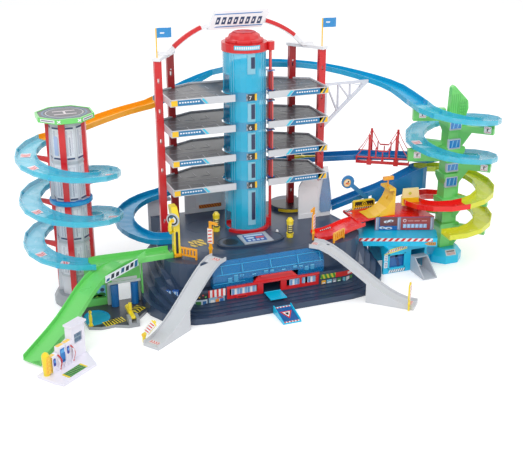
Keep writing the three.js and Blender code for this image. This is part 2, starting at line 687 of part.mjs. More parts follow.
const liftFoot = podium.height + gap;
const liftTop = liftFoot + lift.height;
const levels = Array.from({ length: deck.count }, (_, i) => deck.firstLevel + i * deck.pitch);
const exitLow = levels[deck.count - 1] + deck.pitch / 2;
function liftTube() {
  const inner = lift.radius - lift.wall;
  const shell = cut(drum(0, 0, lift.radius, liftFoot, liftTop, 24),
    drum(0, 0, inner, liftFoot - overrun, liftTop + overrun, 24));
  const wedge = (middle, low, high) => slab([[0, 0],
    ...arcPoints(0, 0, lift.radius * 2, middle - lift.doorHalfTurn, middle + lift.doorHalfTurn, 2)], low, high);
  const doors = [liftFoot + lift.platformThickness, ...levels].flatMap((z) => [0, 180].map((side) => (
    wedge(side, z + gap, z + lift.doorHeight))));
  const exit = wedge(90, exitLow, exitLow + lift.exitHeight);
  return cut(shell, ...doors, exit);
}

function liftPlatform() {
  const radius = lift.radius - lift.wall - lift.platformGap;
  const low = liftFoot;
  const top = low + lift.platformThickness;
  const disc = drum(0, 0, radius, low, top, 24);
  const half = lift.bay / 2;
  const curb = (side) => clip(
    box(-radius, radius, side > 0 ? half : -half - lift.curbWidth, side > 0 ? half + lift.curbWidth : -half,
      low, top + lift.curb),
    drum(0, 0, radius, low, top + lift.curb * 2, 24));
  return join(disc, curb(1), curb(-1));
}

// Knob with a grooved rim, and the drum below the collar that its shaft carries
function liftKnob() {
  const low = liftTop + collar.plate + gap;
  const r = knob.radius;
  const h = knob.height;
  const dome = turned(0, 0, low, [[0, 0], [r, 0], [r, knob.rim], [r * 0.84, knob.rim * 1.5],
    [r * 0.8, h * 0.75], [r * 0.6, h], [0, h]], 18);
  const grips = [];
  for (let i = 0; i < knob.grips; i += 1) {
    const angle = i / knob.grips * turn;
    grips.push(drum(r * Math.cos(angle), r * Math.sin(angle), knob.gripRadius, low - overrun, low + knob.rim * 2, 5));
  }
  const shaft = drum(0, 0, knob.shaftRadius, liftTop - gap * 2, low + gap, 12);
  const spool = drum(0, 0, knob.spoolRadius, liftTop - gap - knob.spoolHeight, liftTop - gap, 16);
  return join(cut(dome, ...grips), shaft, spool);
}

// Red collar on top of the tube, the sill round its foot and the rod between them
function liftFrame() {
  const low = liftTop + collar.plate - collar.height;
  const rim = cut(drum(0, 0, collar.radius, low, liftTop + collar.plate, 20),
    drum(0, 0, lift.radius + gap * 2, low - overrun, liftTop, 20),
    drum(0, 0, collar.boreRadius, liftTop - overrun, liftTop + collar.plate + overrun, 12));
  const lug = cut(drum(collar.rodX, collar.rodY, collar.lugRadius, low, liftTop + collar.plate, 10),
    drum(0, 0, collar.radius - gap, low - overrun, liftTop + overrun * 2, 24));
  const rod = drum(collar.rodX, collar.rodY, collar.rodRadius, liftFoot, low + gap, 8);
  const gates = levels.map((z) => box(
    collar.rodX - collar.gateThickness / 2, collar.rodX + collar.gateThickness / 2,
    collar.rodY + collar.gateWidth / 2 - collar.gateWidth, collar.rodY + collar.gateWidth / 2,
    z + collar.gateLift, z + collar.gateLift + collar.gateHeight));
  const sillInner = lift.radius + gap * 3;
  const sector = [...arcPoints(0, 0, sillInner, collar.sillStart, collar.sillStop, 8),
    ...arcPoints(0, 0, sillInner + collar.sillWidth, collar.sillStop, collar.sillStart, 8)];
  const sill = slab(sector, liftFoot, liftFoot + collar.sillHeight);
  const endSector = [...arcPoints(0, 0, sillInner, collar.sillStop - collar.sillEnd, collar.sillStop, 3),
    ...arcPoints(0, 0, sillInner + collar.sillWidth, collar.sillStop, collar.sillStop - collar.sillEnd, 3)];
  const horn = slab(endSector, liftFoot, liftFoot + collar.sillEnd);
  return join(rim, lug, rod, ...gates, sill, horn);
}

// Decks: a tray with a raised rim and a skirt, wrapped round the lift and open at its front
const deckOuter = pillar.frontX - pillar.width / 2 - gap;

function deckOutline(inset) {
  const o = deckOuter - inset;
  const f = deck.frontY + inset;
  const b = deck.backY - inset;
  return [[-o, f], [o, f], [o, deck.chamferY - inset / 3], [deck.chamferX - inset / 3, b],
    [inset / 3 - deck.chamferX, b], [-o, deck.chamferY - inset / 3]];
}

function deckPiece(level) {
  const block = slab(deckOutline(0), level - deck.skirt, level + deck.rim);
  const tray = slab(deckOutline(deck.rimWidth), level, level + deck.rim + overrun);
  const under = slab(deckOutline(deck.rimWidth), level - deck.skirt - overrun, level - deck.thickness);
  const bore = drum(0, 0, lift.radius + deck.boreClearance, level - deck.skirt - overrun, level + overrun * 2, 20);
  const mouth = box(-deck.mouth, deck.mouth, deck.frontY - overrun, 0, level - deck.skirt - overrun, level + overrun * 2);
  const rod = drum(collar.rodX, collar.rodY, collar.rodRadius + gap * 2, level - deck.skirt * 2, level + overrun * 2, 8);
  const notch = (side) => box(side * pillar.backX - pillar.width / 2 - gap, side * pillar.backX + pillar.width / 2 + gap,
    pillar.backY - pillar.depth / 2 - gap, pillar.backY + pillar.depth + overrun,
    level - deck.skirt - overrun, level + overrun * 2);
  return cut(block, tray, under, bore, mouth, rod, notch(1), notch(-1));
}

function pillarPiece(x, y, foot) {
  const post = box(x - pillar.width / 2, x + pillar.width / 2, y - pillar.depth / 2, y + pillar.depth / 2,
    foot + gap, pillar.top);
  const holes = [foot, ...levels].map((z) => {
    const middle = z + deck.pitch / 2;
    return box(x - pillar.holeWidth / 2, x + pillar.holeWidth / 2, y - pillar.depth, y + pillar.depth,
      middle - pillar.holeHeight / 2, middle + pillar.holeHeight / 2);
  });
  return cut(post, ...holes);
}

// Arch with a bare sign panel, the two brackets that tie the pillars and a flag on each front pillar
function archSign() {
  const low = pillar.top + gap;
  const base = low + arch.bracket;
  const radius = (arch.footX ** 2 + arch.rise ** 2) / (2 * arch.rise);
  const centre = base + arch.rise - radius;
  const end = Math.asin(arch.footX / radius) / degree;
  const band = [...arcPoints(0, centre, radius, 90 - end, 90 + end, 12),
    ...arcPoints(0, centre, radius - arch.band, 90 + end, 90 - end, 12)];
  const parts = [upright(band, arch.footY - arch.depth / 2, arch.footY + arch.depth / 2)];
  const panelTop = base + arch.rise + arch.panelHeight - arch.panelDrop;
  const panelLow = panelTop - arch.panelHeight;
  const slant = arch.panelSlant;
  parts.push(upright([
    [-arch.panelHalf, panelLow], [arch.panelHalf - slant * 2, panelLow], [arch.panelHalf, panelTop - slant],
    [arch.panelHalf - slant / 4, panelTop], [-arch.panelHalf + slant * 2, panelTop], [-arch.panelHalf + slant / 2, panelLow + slant]],
  arch.footY - arch.depth / 2 - arch.panelDepth / 2, arch.footY + arch.depth / 2 - gap));
  for (const side of [-1, 1]) {
    const dx = (pillar.backX - pillar.frontX) * side;
    const dy = pillar.backY - pillar.frontY;
    const length = Math.hypot(dx, dy) + arch.bracketWidth;
    const angle = Math.atan2(dy, dx) / degree;
    const middleX = side * (pillar.frontX + pillar.backX) / 2;
    const middleY = (pillar.frontY + pillar.backY) / 2;
    parts.push(placed(box(-length / 2, length / 2, -arch.bracketWidth / 2, arch.bracketWidth / 2, low, base),
      angle, middleX, middleY));
    parts.push(box(side * arch.footX - arch.footHeight, side * arch.footX + arch.footHeight,
      arch.footY - arch.depth, arch.footY + arch.depth, base - gap, base + arch.footHeight / 2));
    parts.push(drum(side * pillar.frontX, pillar.frontY, arch.poleRadius, base - gap, base + arch.poleHeight, 6));
    parts.push(flagPlate(side * pillar.frontX, pillar.frontY, base + arch.poleHeight));
  }
  return join(...parts);
}

function flagPlate(x, y, top) {
  const steps = 4;
  const half = arch.flagThickness / 2;
  const line = (shift) => Array.from({ length: steps + 1 }, (_, i) => (
    [x + arch.flagWidth * i / steps, y + shift + arch.flagWave * Math.sin(i / steps * turn) * Math.min(1, i / 2)]));
  return slab([...line(-half), ...line(half).reverse()], top - arch.flagHeight, top);
}

// White rear wall with blind arches and the striped board on it
function rearWall() {
  const low = podium.height + gap;
  const w = backWall;
  const span = (w.right - w.left) / w.arches;
  const wall = box(w.left, w.right, w.y, w.y + w.thickness, low, low + w.height);
  const recesses = [];
  for (let i = 0; i < w.arches; i += 1) {
    const middle = w.left + span * (i + 0.5);
    const half = span * w.archShare / 2;
    const outline = [[middle - half, low + w.boardHeight], [middle + half, low + w.boardHeight],
      ...arcPoints(middle, low + w.height * w.archShare, half, 0, 180, 8)];
    recesses.push(upright(outline, w.y - overrun, w.y + w.thickness / 2));
  }
  const board = box(mix(w.left, w.right, 0.34), mix(w.left, w.right, 0.9), w.y - w.thickness / 2, w.y + w.thickness / 2,
    low + w.boardHeight, low + w.boardHeight * 2);
  return join(cut(wall, ...recesses), board);
}

// White side wall: two low arched doorways and a tall part with a long pane
function sideWallPiece() {
  const low = podium.height + gap;
  const w = sideWall;
  const mid = (w.tallLeft + w.right) / 2;
  const half = (w.right - w.tallLeft) / 2;
  const outline = [[w.left, low], [w.right, low], [w.right, low + w.tallHeight * 0.5],
    [mid + half * 0.55, low + w.tallHeight * 0.9], [mid + half * 0.4, low + w.tallHeight],
    [mid - half * 0.4, low + w.tallHeight], [mid - half * 0.8, low + w.archTop],
    ...arcPoints(w.left + (w.tallLeft - w.left) / 2, low + w.archTop * 0.8, (w.tallLeft - w.left) / 2, 40, 180, 8)];
  const wall = upright(outline, w.y - w.thickness / 2, w.y + w.thickness / 2);
  const doorHalf = (w.tallLeft - w.left) / 2 - w.thickness;
  const doorMid = (w.tallLeft + w.left) / 2;
  const door = upright([[doorMid - doorHalf, low + w.paneBottom], [doorMid + doorHalf, low + w.paneBottom],
    ...arcPoints(doorMid, low + w.archTop * 0.7, doorHalf, 0, 180, 8)], w.y - w.thickness, w.y - w.thickness / 4);
  const pane = upright([[mid - w.paneHalfFoot, low + w.paneBottom + w.thickness], [mid - w.paneHalfFoot * 0.8, low + w.paneBottom],
    [mid + w.paneHalfFoot * 0.8, low + w.paneBottom], [mid + w.paneHalfFoot, low + w.paneBottom + w.thickness],
    [mid + w.paneHalfFoot, low + mix(w.paneBottom, w.paneTop, 0.35)], [mid + w.paneHalfTop, low + w.paneTop],
    [mid - w.paneHalfTop, low + w.paneTop], [mid - w.paneHalfFoot, low + mix(w.paneBottom, w.paneTop, 0.35)]],
  w.y - w.thickness / 2 - w.paneThickness, w.y);
  return join(cut(wall, door), pane);
}

// Oval sound panel, and the button in the middle of it
function soundPanelPiece() {
  const s = soundPanel;
  const low = podium.height + gap;
  const half = s.length / 2;
  const outline = [];
  for (let i = 0; i < 20; i += 1) {
    const angle = i / 20 * turn;
    const [across, along] = [Math.cos(angle), Math.sin(angle)].map((v) => Math.sign(v) * Math.abs(v) ** s.squareness);
    outline.push([half * across, s.width / 2 * along]);
  }
  const plate = placed(slab(outline, low, low + s.height), 0, s.x, s.y);
  const hole = box(soundButton.x - soundButton.length / 2 - soundButton.clearance,
    soundButton.x + soundButton.length / 2 + soundButton.clearance, soundButton.y - soundButton.width / 2 - soundButton.clearance,
    soundButton.y + soundButton.width / 2 + soundButton.clearance, low - overrun, low + s.height + overrun);
  return cut(plate, hole);
}

function soundButtonPiece() {
  const b = soundButton;
  const top = podium.height + b.height - gap;
  const low = podium.height - b.recess + b.travel + gap;
  return box(b.x - b.length / 2, b.x + b.length / 2, b.y - b.width / 2, b.y + b.width / 2, low, top);
}

// Left tower

function octagon(radius, phase = 0.5) {
  return Array.from({ length: 8 }, (_, i) => {
    const angle = (i + phase) / 8 * turn;
    return [radius * Math.cos(angle), radius * Math.sin(angle)];
  });
}

function leftTowerPiece() {
  const t = leftTower;
  const parts = [slab(octagon(t.radius), 0, t.top)];
  for (let i = 0; i < 4; i += 1) {
    parts.push(placed(box(t.radius - t.ribDepth, t.radius + t.ribDepth, -t.ribWidth / 2, t.ribWidth / 2, 0, t.top),
      t.ribTurn + 90 * i, 0, 0));
  }
  parts.push(turned(0, 0, 0, [[0, 0], [t.footRadius, 0], [t.footRadius, t.footHeight * 0.6],
    [t.footRadius * 0.88, t.footHeight], [0, t.footHeight]], 18));
  parts.push(drum(0, 0, t.ringRadius, t.ringZ, t.ringZ + t.ringHeight, 14));
  for (const side of [t.ribTurn - 90, t.ribTurn + 90]) {
    for (let angle = side; angle < leftHelix.start + leftHelix.sweep - 60; angle += 360) {
      if (angle < leftHelix.start + 20) continue;
      const z = helixPoint(t, leftHelix, angle).z - gap * 3;
      const arm = upright([[t.radius - t.ribDepth, z - t.armDepth], [t.radius - t.ribDepth, z - t.armDepth / 3], [t.armReach - t.armWidth, z],
        [t.armReach, z], [t.armReach, z - t.armDepth / 3], [t.radius + t.ribDepth, z - t.armDepth]], -t.armWidth / 2, t.armWidth / 2);
      parts.push(placed(arm, angle, 0, 0));
    }
  }
  return join(...parts).translate(t.x, t.y, 0);
}

function padPiece() {
  const t = leftTower;
  const low = t.top + gap;
  const block = slab(octagon(t.padRadius), low, low + t.padHeight);
  const dish = slab(octagon(t.padRadius - t.padRim * 2), low + t.padHeight - t.padRim / 2, low + t.padHeight + overrun);
  return cut(block, dish).translate(t.x, t.y, 0);
}

// Orange chute to the left spiral, and the two blue branches from the top of the lift

const leftSpiralTop = helixLead(leftTower, leftHelix, leftHelix.start, -seam);
const orangeEndX = -147;
const orangeEndY = 112;
const orangeEndZ = 338;
const orangeTurn = 10;
const orangeFall = 0.3;
const topTrackZ = exitLow - track.floor;

// Point along the level line that the orange chute and the top track share where they meet
function orangeSeam(distance) {
  return vector(orangeEndX - distance * Math.cos(orangeTurn * degree), orangeEndY - distance * Math.sin(orangeTurn * degree),
    orangeEndZ - distance * orangeFall);
}

function orangePath() {
  const lead = helixLead(leftTower, leftHelix, leftHelix.start, -track.width / 2);
  return squareEnded([
    orangeSeam(seam / 2), orangeSeam(track.width / 2),
    vector(mix(orangeEndX, lead.x, 0.35), mix(orangeEndY, lead.y, 0.12), mix(orangeEndZ, lead.z, 0.4)),
    vector(mix(orangeEndX, lead.x, 0.7), mix(orangeEndY, lead.y, 0.42), mix(orangeEndZ, lead.z, 0.78)),
    lead, leftSpiralTop], 10);
}

const topTrack = {
  startY: lift.radius + gap * 3, leftX: -74, leftY: 121, leftZ: 366, backY: 104, rightX: 153, rightY: 107, rightZ: 391,
  farX: 224, farY: 99, farZ: 379, bendX: 290, bendY: 62, bendZ: 363, sideX: 330, sideY: 2, sideZ: 350,
};

function topTrackPaths() {
  const t = topTrack;
  const spiral = helixLead(rightTower, upperHelix, upperHelix.start, -seam);
  const lead = helixLead(rightTower, upperHelix, upperHelix.start, -track.width / 2);
  const right = squareEnded([
    vector(0, t.startY, topTrackZ), vector(track.wall, t.startY + track.width / 4, topTrackZ),
    vector(track.width, t.backY - track.wall, topTrackZ), vector(track.width * 2, t.backY, mix(topTrackZ, t.rightZ, 0.3)),
    vector(t.rightX, t.rightY, t.rightZ), vector(t.farX, t.farY, t.farZ), vector(t.bendX, t.bendY, t.bendZ),
    vector(t.sideX, t.sideY, t.sideZ), lead, spiral], 18);
  const left = squareEnded([
    vector(0, t.startY, topTrackZ), vector(-track.wall, t.startY + track.width / 4, topTrackZ),
    vector(-track.width * 0.7, t.backY, mix(topTrackZ, t.leftZ, 0.4)), vector(t.leftX, t.leftY, t.leftZ),
    orangeSeam(-track.width / 2), orangeSeam(-seam / 2)], 9);
  return { left, right };
}

function topTrackPiece() {
  const { left, right } = topTrackPaths();
  return largest(cut(join(channelBlock(left), channelBlock(right)), channelWay(left), channelWay(right)));
}

// Rear loop: from the bridge, behind the decks and round the left pillars onto the podium
const rear = { rightX: 168, rightY: 97, rightZ: 187, middleX: 60, middleY: 124, middleZ: 171, leftX: -62, leftY: 131, leftZ: 153 };

function rearLoopPath() {
  const loop = [];
  const steps = 14;
  const last = podium.height + gap;
  for (let i = 0; i <= steps; i += 1) {
    const s = i / steps;
    const angle = (rearLoop.start + rearLoop.sweep * s) * degree;
    loop.push(vector(rearLoop.x + rearLoop.radius * Math.cos(angle), rearLoop.y + rearLoop.radius * Math.sin(angle),
      mix(rearLoop.high, last, Math.min(1, s * 1.15))));
  }
  const end = loop[steps];
  const straight = curve([
    vector(rear.rightX, rear.rightY, rear.rightZ), vector(rear.middleX, rear.middleY, rear.middleZ),
    vector(rear.leftX, rear.leftY, rear.leftZ), loop[0]], 8);
  return [...straight.slice(0, -1), ...loop, vector(end.x + rearLoop.straight, end.y, end.z)];
}

function bridgePath() {
  const spiral = helixLead(rightTower, upperHelix, upperHelix.start + upperHelix.sweep, seam);
  const lead = helixLead(rightTower, upperHelix, upperHelix.start + upperHelix.sweep, track.width / 2);
  lead.z = spiral.z;
  return squareEnded([spiral, lead, vector(bridge.startX, bridge.startY, mix(spiral.z, rear.rightZ, 0.15)),
    vector(bridge.endX, bridge.endY, mix(spiral.z, rear.rightZ, 0.6)),
    vector(rear.rightX + gap * 2, rear.rightY - gap, rear.rightZ + gap)], 12);
}

// Grey leg behind the podium that carries the rear track
const rearLeg = { left: -174, right: -146, thickness: 4, foot: 50, flange: 6, flangeReach: 22, drop: 6 };

function rearLegPiece() {
  const l = rearLeg;
  const front = podium.backY + gap;
  const top = rearLoop.high - l.drop;
  const panel = upright([[l.left + l.thickness, l.foot], [l.right - l.thickness, l.foot], [l.right, l.foot + l.thickness],
    [l.right, top], [l.left, top], [l.left, l.foot + l.thickness]], front, front + l.thickness);
  const flange = box(l.left, l.right + l.flangeReach, front, front + l.thickness * 3, top - l.flange, top);
  return join(panel, flange);
}

// Red suspension bridge: two side frames with towers and cables, tied under the track
function bridgeFrame() {
  const path = bridgePath();
  const middle = path.reduce((best, p) => (Math.abs(p.x - (bridge.startX + bridge.endX) / 2)
    < Math.abs(best.x - (bridge.startX + bridge.endX) / 2) ? p : best));
  const angle = Math.atan2(bridge.startY - bridge.endY, bridge.startX - bridge.endX) / degree;
  const length = Math.hypot(bridge.startX - bridge.endX, bridge.startY - bridge.endY);
  const half = length / 2;
  const low = -bridge.plate * 2;
  const sideFrame = () => {
    const parts = [
      upright([[-half, low], [half, low], [half, bridge.railHeight], [-half, bridge.railHeight]], 0, bridge.plate, [
        [[-half + bridge.cable, 0], [0 - bridge.cable, 0], [0 - bridge.cable, bridge.railHeight - bridge.cable],
          [-half + bridge.cable, bridge.railHeight - bridge.cable]],
        [[bridge.cable, 0], [half - bridge.cable, 0], [half - bridge.cable, bridge.railHeight - bridge.cable],
          [bridge.cable, bridge.railHeight - bridge.cable]],
      ]),
    ];
    for (const x of [-half * 0.5, half * 0.5]) {
      parts.push(box(x - bridge.towerWidth / 2, x + bridge.towerWidth / 2, 0, bridge.plate, low, bridge.towerHeight));
    }
    const cable = (from, to, z0, z1, dip) => {
      const upper = [];
      const lower = [];
      for (let i = 0; i <= 3; i += 1) {
        const s = i / 3;
        const z = mix(z0, z1, s) - dip * 4 * s * (1 - s);
        upper.push([mix(from, to, s), z]);
        lower.push([mix(from, to, s), z - bridge.cable]);
      }
      return upright([...lower, ...upper.reverse()], 0, bridge.plate);
    };
    parts.push(cable(-half * 0.5, half * 0.5, bridge.towerHeight, bridge.towerHeight, bridge.sag));
    parts.push(cable(-half, -half * 0.5, bridge.railHeight, bridge.towerHeight, bridge.cable * 2));
    parts.push(cable(half * 0.5, half, bridge.towerHeight, bridge.railHeight, bridge.cable * 2));
    for (let i = 1; i < bridge.hangers; i += 1) {
      const s = i / bridge.hangers;
      const x = mix(-half * 0.5, half * 0.5, s);
      const z = bridge.towerHeight - bridge.sag * 4 * s * (1 - s);
      parts.push(box(x - bridge.cable / 2, x + bridge.cable / 2, 0, bridge.plate, bridge.railHeight - gap, z - gap));
    }
    return join(...parts);
  };
  const front = sideFrame().translate(0, -bridge.side - bridge.plate, 0);
  const back = sideFrame().translate(0, bridge.side, 0);
  const ties = [-half * 0.5, half * 0.5].map((x) => box(x - bridge.towerWidth, x + bridge.towerWidth,
    -bridge.side - bridge.plate, bridge.side + bridge.plate, low - bridge.plate, bridge.plate));
  const frame = placed(join(front, back, ...ties), angle, (bridge.startX + bridge.endX) / 2,
    (bridge.startY + bridge.endY) / 2, middle.z);
  const reach = track.width / 2 + gap;
  return cut(frame, sweep(path, [[-reach, -gap], [reach, -gap], [reach, bridge.railHeight * 2], [-reach, bridge.railHeight * 2]]));
}

// Y-shaped yellow points on the rear track
const switchSpot = { x: 205, y: 91 };

function switchPiece() {
  const path = bridgePath();
  const at = path.reduce((best, p, i) => (Math.abs(p.x - switchSpot.x) < Math.abs(path[best].x - switchSpot.x) ? i : best), 1);
  const near = path[at];
  const way = headings(path)[at];
  const low = near.z + track.floor + gap * 8;
  const w = switchArm.width / 2;
  const parts = [
    box(0, switchArm.length / 2, -w, w, low, low + switchArm.height),
    drum(0, 0, switchArm.pivotRadius, near.z + track.floor + gap * 2, low + switchArm.height, 12),
    placed(box(-switchArm.fork, 0, -w / 2, w / 2, low, low + switchArm.height), 16, 0, 0),
    placed(box(-switchArm.fork, 0, -w / 2, w / 2, low, low + switchArm.height), -16, 0, 0),
  ];
  return { geometry: join(...parts), spot: near, angle: Math.atan2(-way.y, -way.x) };
}

// Right tower

function rightTowerPiece() {
  const t = rightTower;
  const ring = (grow, z) => {
    const w = t.width / 2 + grow;
    const d = t.depth / 2 + grow;
    return [vector(-w, -d, z), vector(w, -d, z), vector(w, d, z), vector(-w, d, z)];
  };
  const rings = [];
  for (let i = 0; i < t.storeys; i += 1) {
    const low = mix(t.foot + gap, t.top, i / t.storeys);
    const high = mix(t.foot + gap, t.top, (i + 1) / t.storeys);
    rings.push(ring(0, low), ring(0, mix(low, high, 0.55)), ring(t.flare, mix(low, high, 0.82)), ring(t.flare, high - gap * 4));
  }
  const parts = [loft(rings)];
  const fin = upright([[-t.finWidth * 0.3, t.top - overrun], [-t.finWidth * 0.24, t.top + t.finHeight * 0.94],
    [-t.finWidth * 0.12, t.top + t.finHeight], [t.finWidth * 0.62, t.top + t.finHeight * 0.52],
    [t.finWidth * 0.66, t.top + t.finHeight * 0.3], [t.finWidth * 0.5, t.top - overrun]], -t.finDepth / 2, t.finDepth / 2);
  parts.push(fin);
  const arm = (helix, angle, side) => {
    const z = helixPoint(t, helix, angle).z - gap * 3;
    const beam = box(0, t.armReach, -t.armWidth / 2, t.armWidth / 2, z - t.lug - t.armHeight, z - t.lug);
    const lug = box(t.armReach - t.armWidth, t.armReach, -t.armWidth / 4, t.armWidth / 4, z - t.lug - gap, z);
    const list = [beam, lug];
    if (side > 0) {
      list.push(upright([[t.width / 3, z - t.lug - t.armHeight + gap], [t.width / 3, z - t.lug - t.armHeight - t.gusset],
        [t.width * 0.6, z - t.lug - t.armHeight - t.gusset], [t.width * 1.2, z - t.lug - t.armHeight + gap]],
      -t.armWidth / 3, t.armWidth / 3));
    }
    return placed(join(...list), angle, 0, 0);
  };
  parts.push(arm(upperHelix, t.armTurn, 1), arm(upperHelix, t.armTurn + 180, -1), arm(upperHelix, t.armTurn + 360, 1),
    arm(lowerHelix, t.armTurn + 360, 1), arm(lowerHelix, t.armTurn + 180, -1), arm(lowerHelix, t.armTurn, 1));
  return join(...parts).translate(t.x, t.y, 0);
}

function lowerHelixPath() {
  const path = helixPath(rightTower, lowerHelix);
  const first = helixLead(rightTower, lowerHelix, lowerHelix.start, -track.width);
  first.z = garage.slabTop + gap;
  return [first, ...path];
}

// Jump ramp from the lower spiral down to the podium, with a deep cheek on its front
const jump = {
  peakX: 362, peakY: -36, midX: 300, midY: -12, midZ: 140, lowX: 250, lowY: 8, lowZ: 118, footX: 204, footY: 24,
  cheek: 3, cheekDeep: 37, cheekShallow: 16,
};

function jumpPath() {
  const angle = lowerHelix.start + lowerHelix.sweep;
  const spiral = helixLead(rightTower, lowerHelix, angle, seam);
  const lead = helixLead(rightTower, lowerHelix, angle, track.width / 3);
  lead.z = spiral.z;
  return squareEnded([spiral, lead, vector(jump.midX, jump.midY, jump.midZ), vector(jump.lowX, jump.lowY, jump.lowZ),
    vector(jump.footX, jump.footY, podium.height + gap + track.floor)], 14);
}

function jumpRamp() {
  const path = jumpPath();
  const half = track.width / 2;
  const cheek = sweep(path.slice(0, 10), (s) => {
    const depth = mix(jump.cheekDeep, jump.cheekShallow, s);
    return [[-half, -depth], [jump.cheek - half, -depth],
      [jump.cheek - half, track.floor], [-half, track.floor]];
  });
  return join(channel(path), cheek);
}

function targetPiece() {
  const t = target;
  const disc = new THREE.CylinderGeometry(t.radius, t.radius, t.thickness, 20).translate(0, 0, t.reach);
  const neck = box(-t.neck / 2, t.neck / 2, -t.thickness / 2, t.thickness / 2, 0, t.reach);
  const hub = new THREE.CylinderGeometry(t.hub, t.hub, t.thickness, 14);
  return join(disc, neck, hub);
}

// Fire station: red ramp up from the podium, flat roof, front wall with openings and a sign at the back
function fireStation() {
  const f = fire;
  const under = f.roofTop - f.roof;
  const roof = slab([[f.edgeX - f.rampWidth, f.edgeY - f.wall * 3], [f.edgeX, f.edgeY], [f.edgeRightX, f.edgeRightY],
    [f.edgeRightX, f.cornerY], [f.cornerX, f.backY], [f.edgeX - f.rampWidth, f.backY]], under, f.roofTop);
  const rampEnd = vector(f.edgeX - f.rampWidth + f.wall, (f.edgeY + f.rampFootY) / 2 + f.wall * 2, under);
  const path = curve([vector(f.rampFootX, f.rampFootY, podium.height + gap),
    vector(mix(f.rampFootX, rampEnd.x, 0.3), f.rampFootY, mix(podium.height, under, 0.2)),
    vector(mix(f.rampFootX, rampEnd.x, 0.75), mix(f.rampFootY, rampEnd.y, 0.6), mix(podium.height, under, 0.85)), rampEnd], 10);
  const way = channel(path, f.rampWidth, f.wall / 2, f.roof / 2, f.rail);
  const angle = Math.atan2(f.edgeRightY - f.edgeY, f.edgeRightX - f.edgeX) / degree;
  const length = Math.hypot(f.edgeRightX - f.edgeX, f.edgeRightY - f.edgeY);
  const low = garage.slabTop + gap;
  const front = placed(upright([[0, low], [length, low], [length, under + gap], [0, under + gap]], 0, f.wall, [
    [[f.wall * 2, low + f.wall], [length / 2 - f.wall, low + f.wall], [length / 2 - f.wall, under - f.wall], [f.wall * 2, under - f.wall]],
    [[length / 2 + f.wall, low + f.wall], [length - f.wall * 2, low + f.wall], [length - f.wall * 2, under - f.wall], [length / 2 + f.wall, under - f.wall]],
  ]), angle, f.edgeX, f.edgeY);
  const end = box(f.edgeRightX - f.wall, f.edgeRightX, f.edgeRightY + f.wall / 2, f.cornerY, low, under + gap);
  const back = box(f.edgeX, f.cornerX, f.backY - f.wall, f.backY, low, under + gap);
  const sign = upright([[f.edgeX - f.signLength / 2, f.roofTop - gap], [f.edgeX + f.signLength / 2, f.roofTop - gap],
    [f.edgeX + f.signLength / 2, f.roofTop + f.signHeight], [f.edgeX + f.signLength / 2 - f.wall, f.roofTop + f.signHeight + f.wall],
    [f.edgeX - f.signLength / 2 + f.wall, f.roofTop + f.signHeight + f.wall], [f.edgeX - f.signLength / 2, f.roofTop + f.signHeight]],
  f.backY - f.wall * 2, f.backY);
  return join(roof, way, front, end, back, sign);
}

// Quarter pipe on the fire station's roof, and the plunger on top of it
function chutePiece() {
  const c = chute;
  const low = fire.roofTop + gap;
  const radius = c.height;
  const steps = 6;
  const outer = [];
  const inner = [];
  for (let i = 0; i <= steps; i += 1) {
    const angle = i / steps * Math.PI / 2;
    const x = c.x + (c.right - c.x) * Math.sin(angle);
    const z = low + radius * (1 - Math.cos(angle));
    outer.push([Math.min(x + c.wall, c.right + c.wall), Math.max(z - c.wall, low)]);
    inner.push([x, z + c.wall / 2]);
  }
  const shell = upright([...outer, ...inner.reverse()], c.front, c.back);
  const fill = (y) => upright([[c.x + (c.right - c.x) * 0.4, low], [c.right + c.wall, low], [c.right + c.wall, low + radius],
    ...outer.slice().reverse().slice(1, steps - 1)], y, y + c.wall);
  const cap = box(c.right - c.stem * 4, c.right + c.wall, c.front, c.back, low + radius - c.wall, low + radius + c.wall);
  const bore = drum(c.right - c.stem * 2, (c.front + c.back) / 2, c.stem / 2 + gap * 2, low, low + radius * 2, 10);
  return cut(join(shell, fill(c.front), fill(c.back - c.wall), cap), bore);
}

function plungerPiece() {
  const c = chute;
  const x = c.right - c.stem * 2;
  const y = (c.front + c.back) / 2;
  const top = fire.roofTop + gap + c.height + c.wall;
  const high = top + plunger.travel + c.stemHeight / 3;
  const stem = drum(x, y, c.stem / 2, top - c.wall * 3, high + gap, 10);
  const grip = box(x - c.grip / 2, x + c.grip / 2, y - plunger.grip / 2, y + plunger.grip / 2, high, high + plunger.grip);
  return join(stem, grip);
}

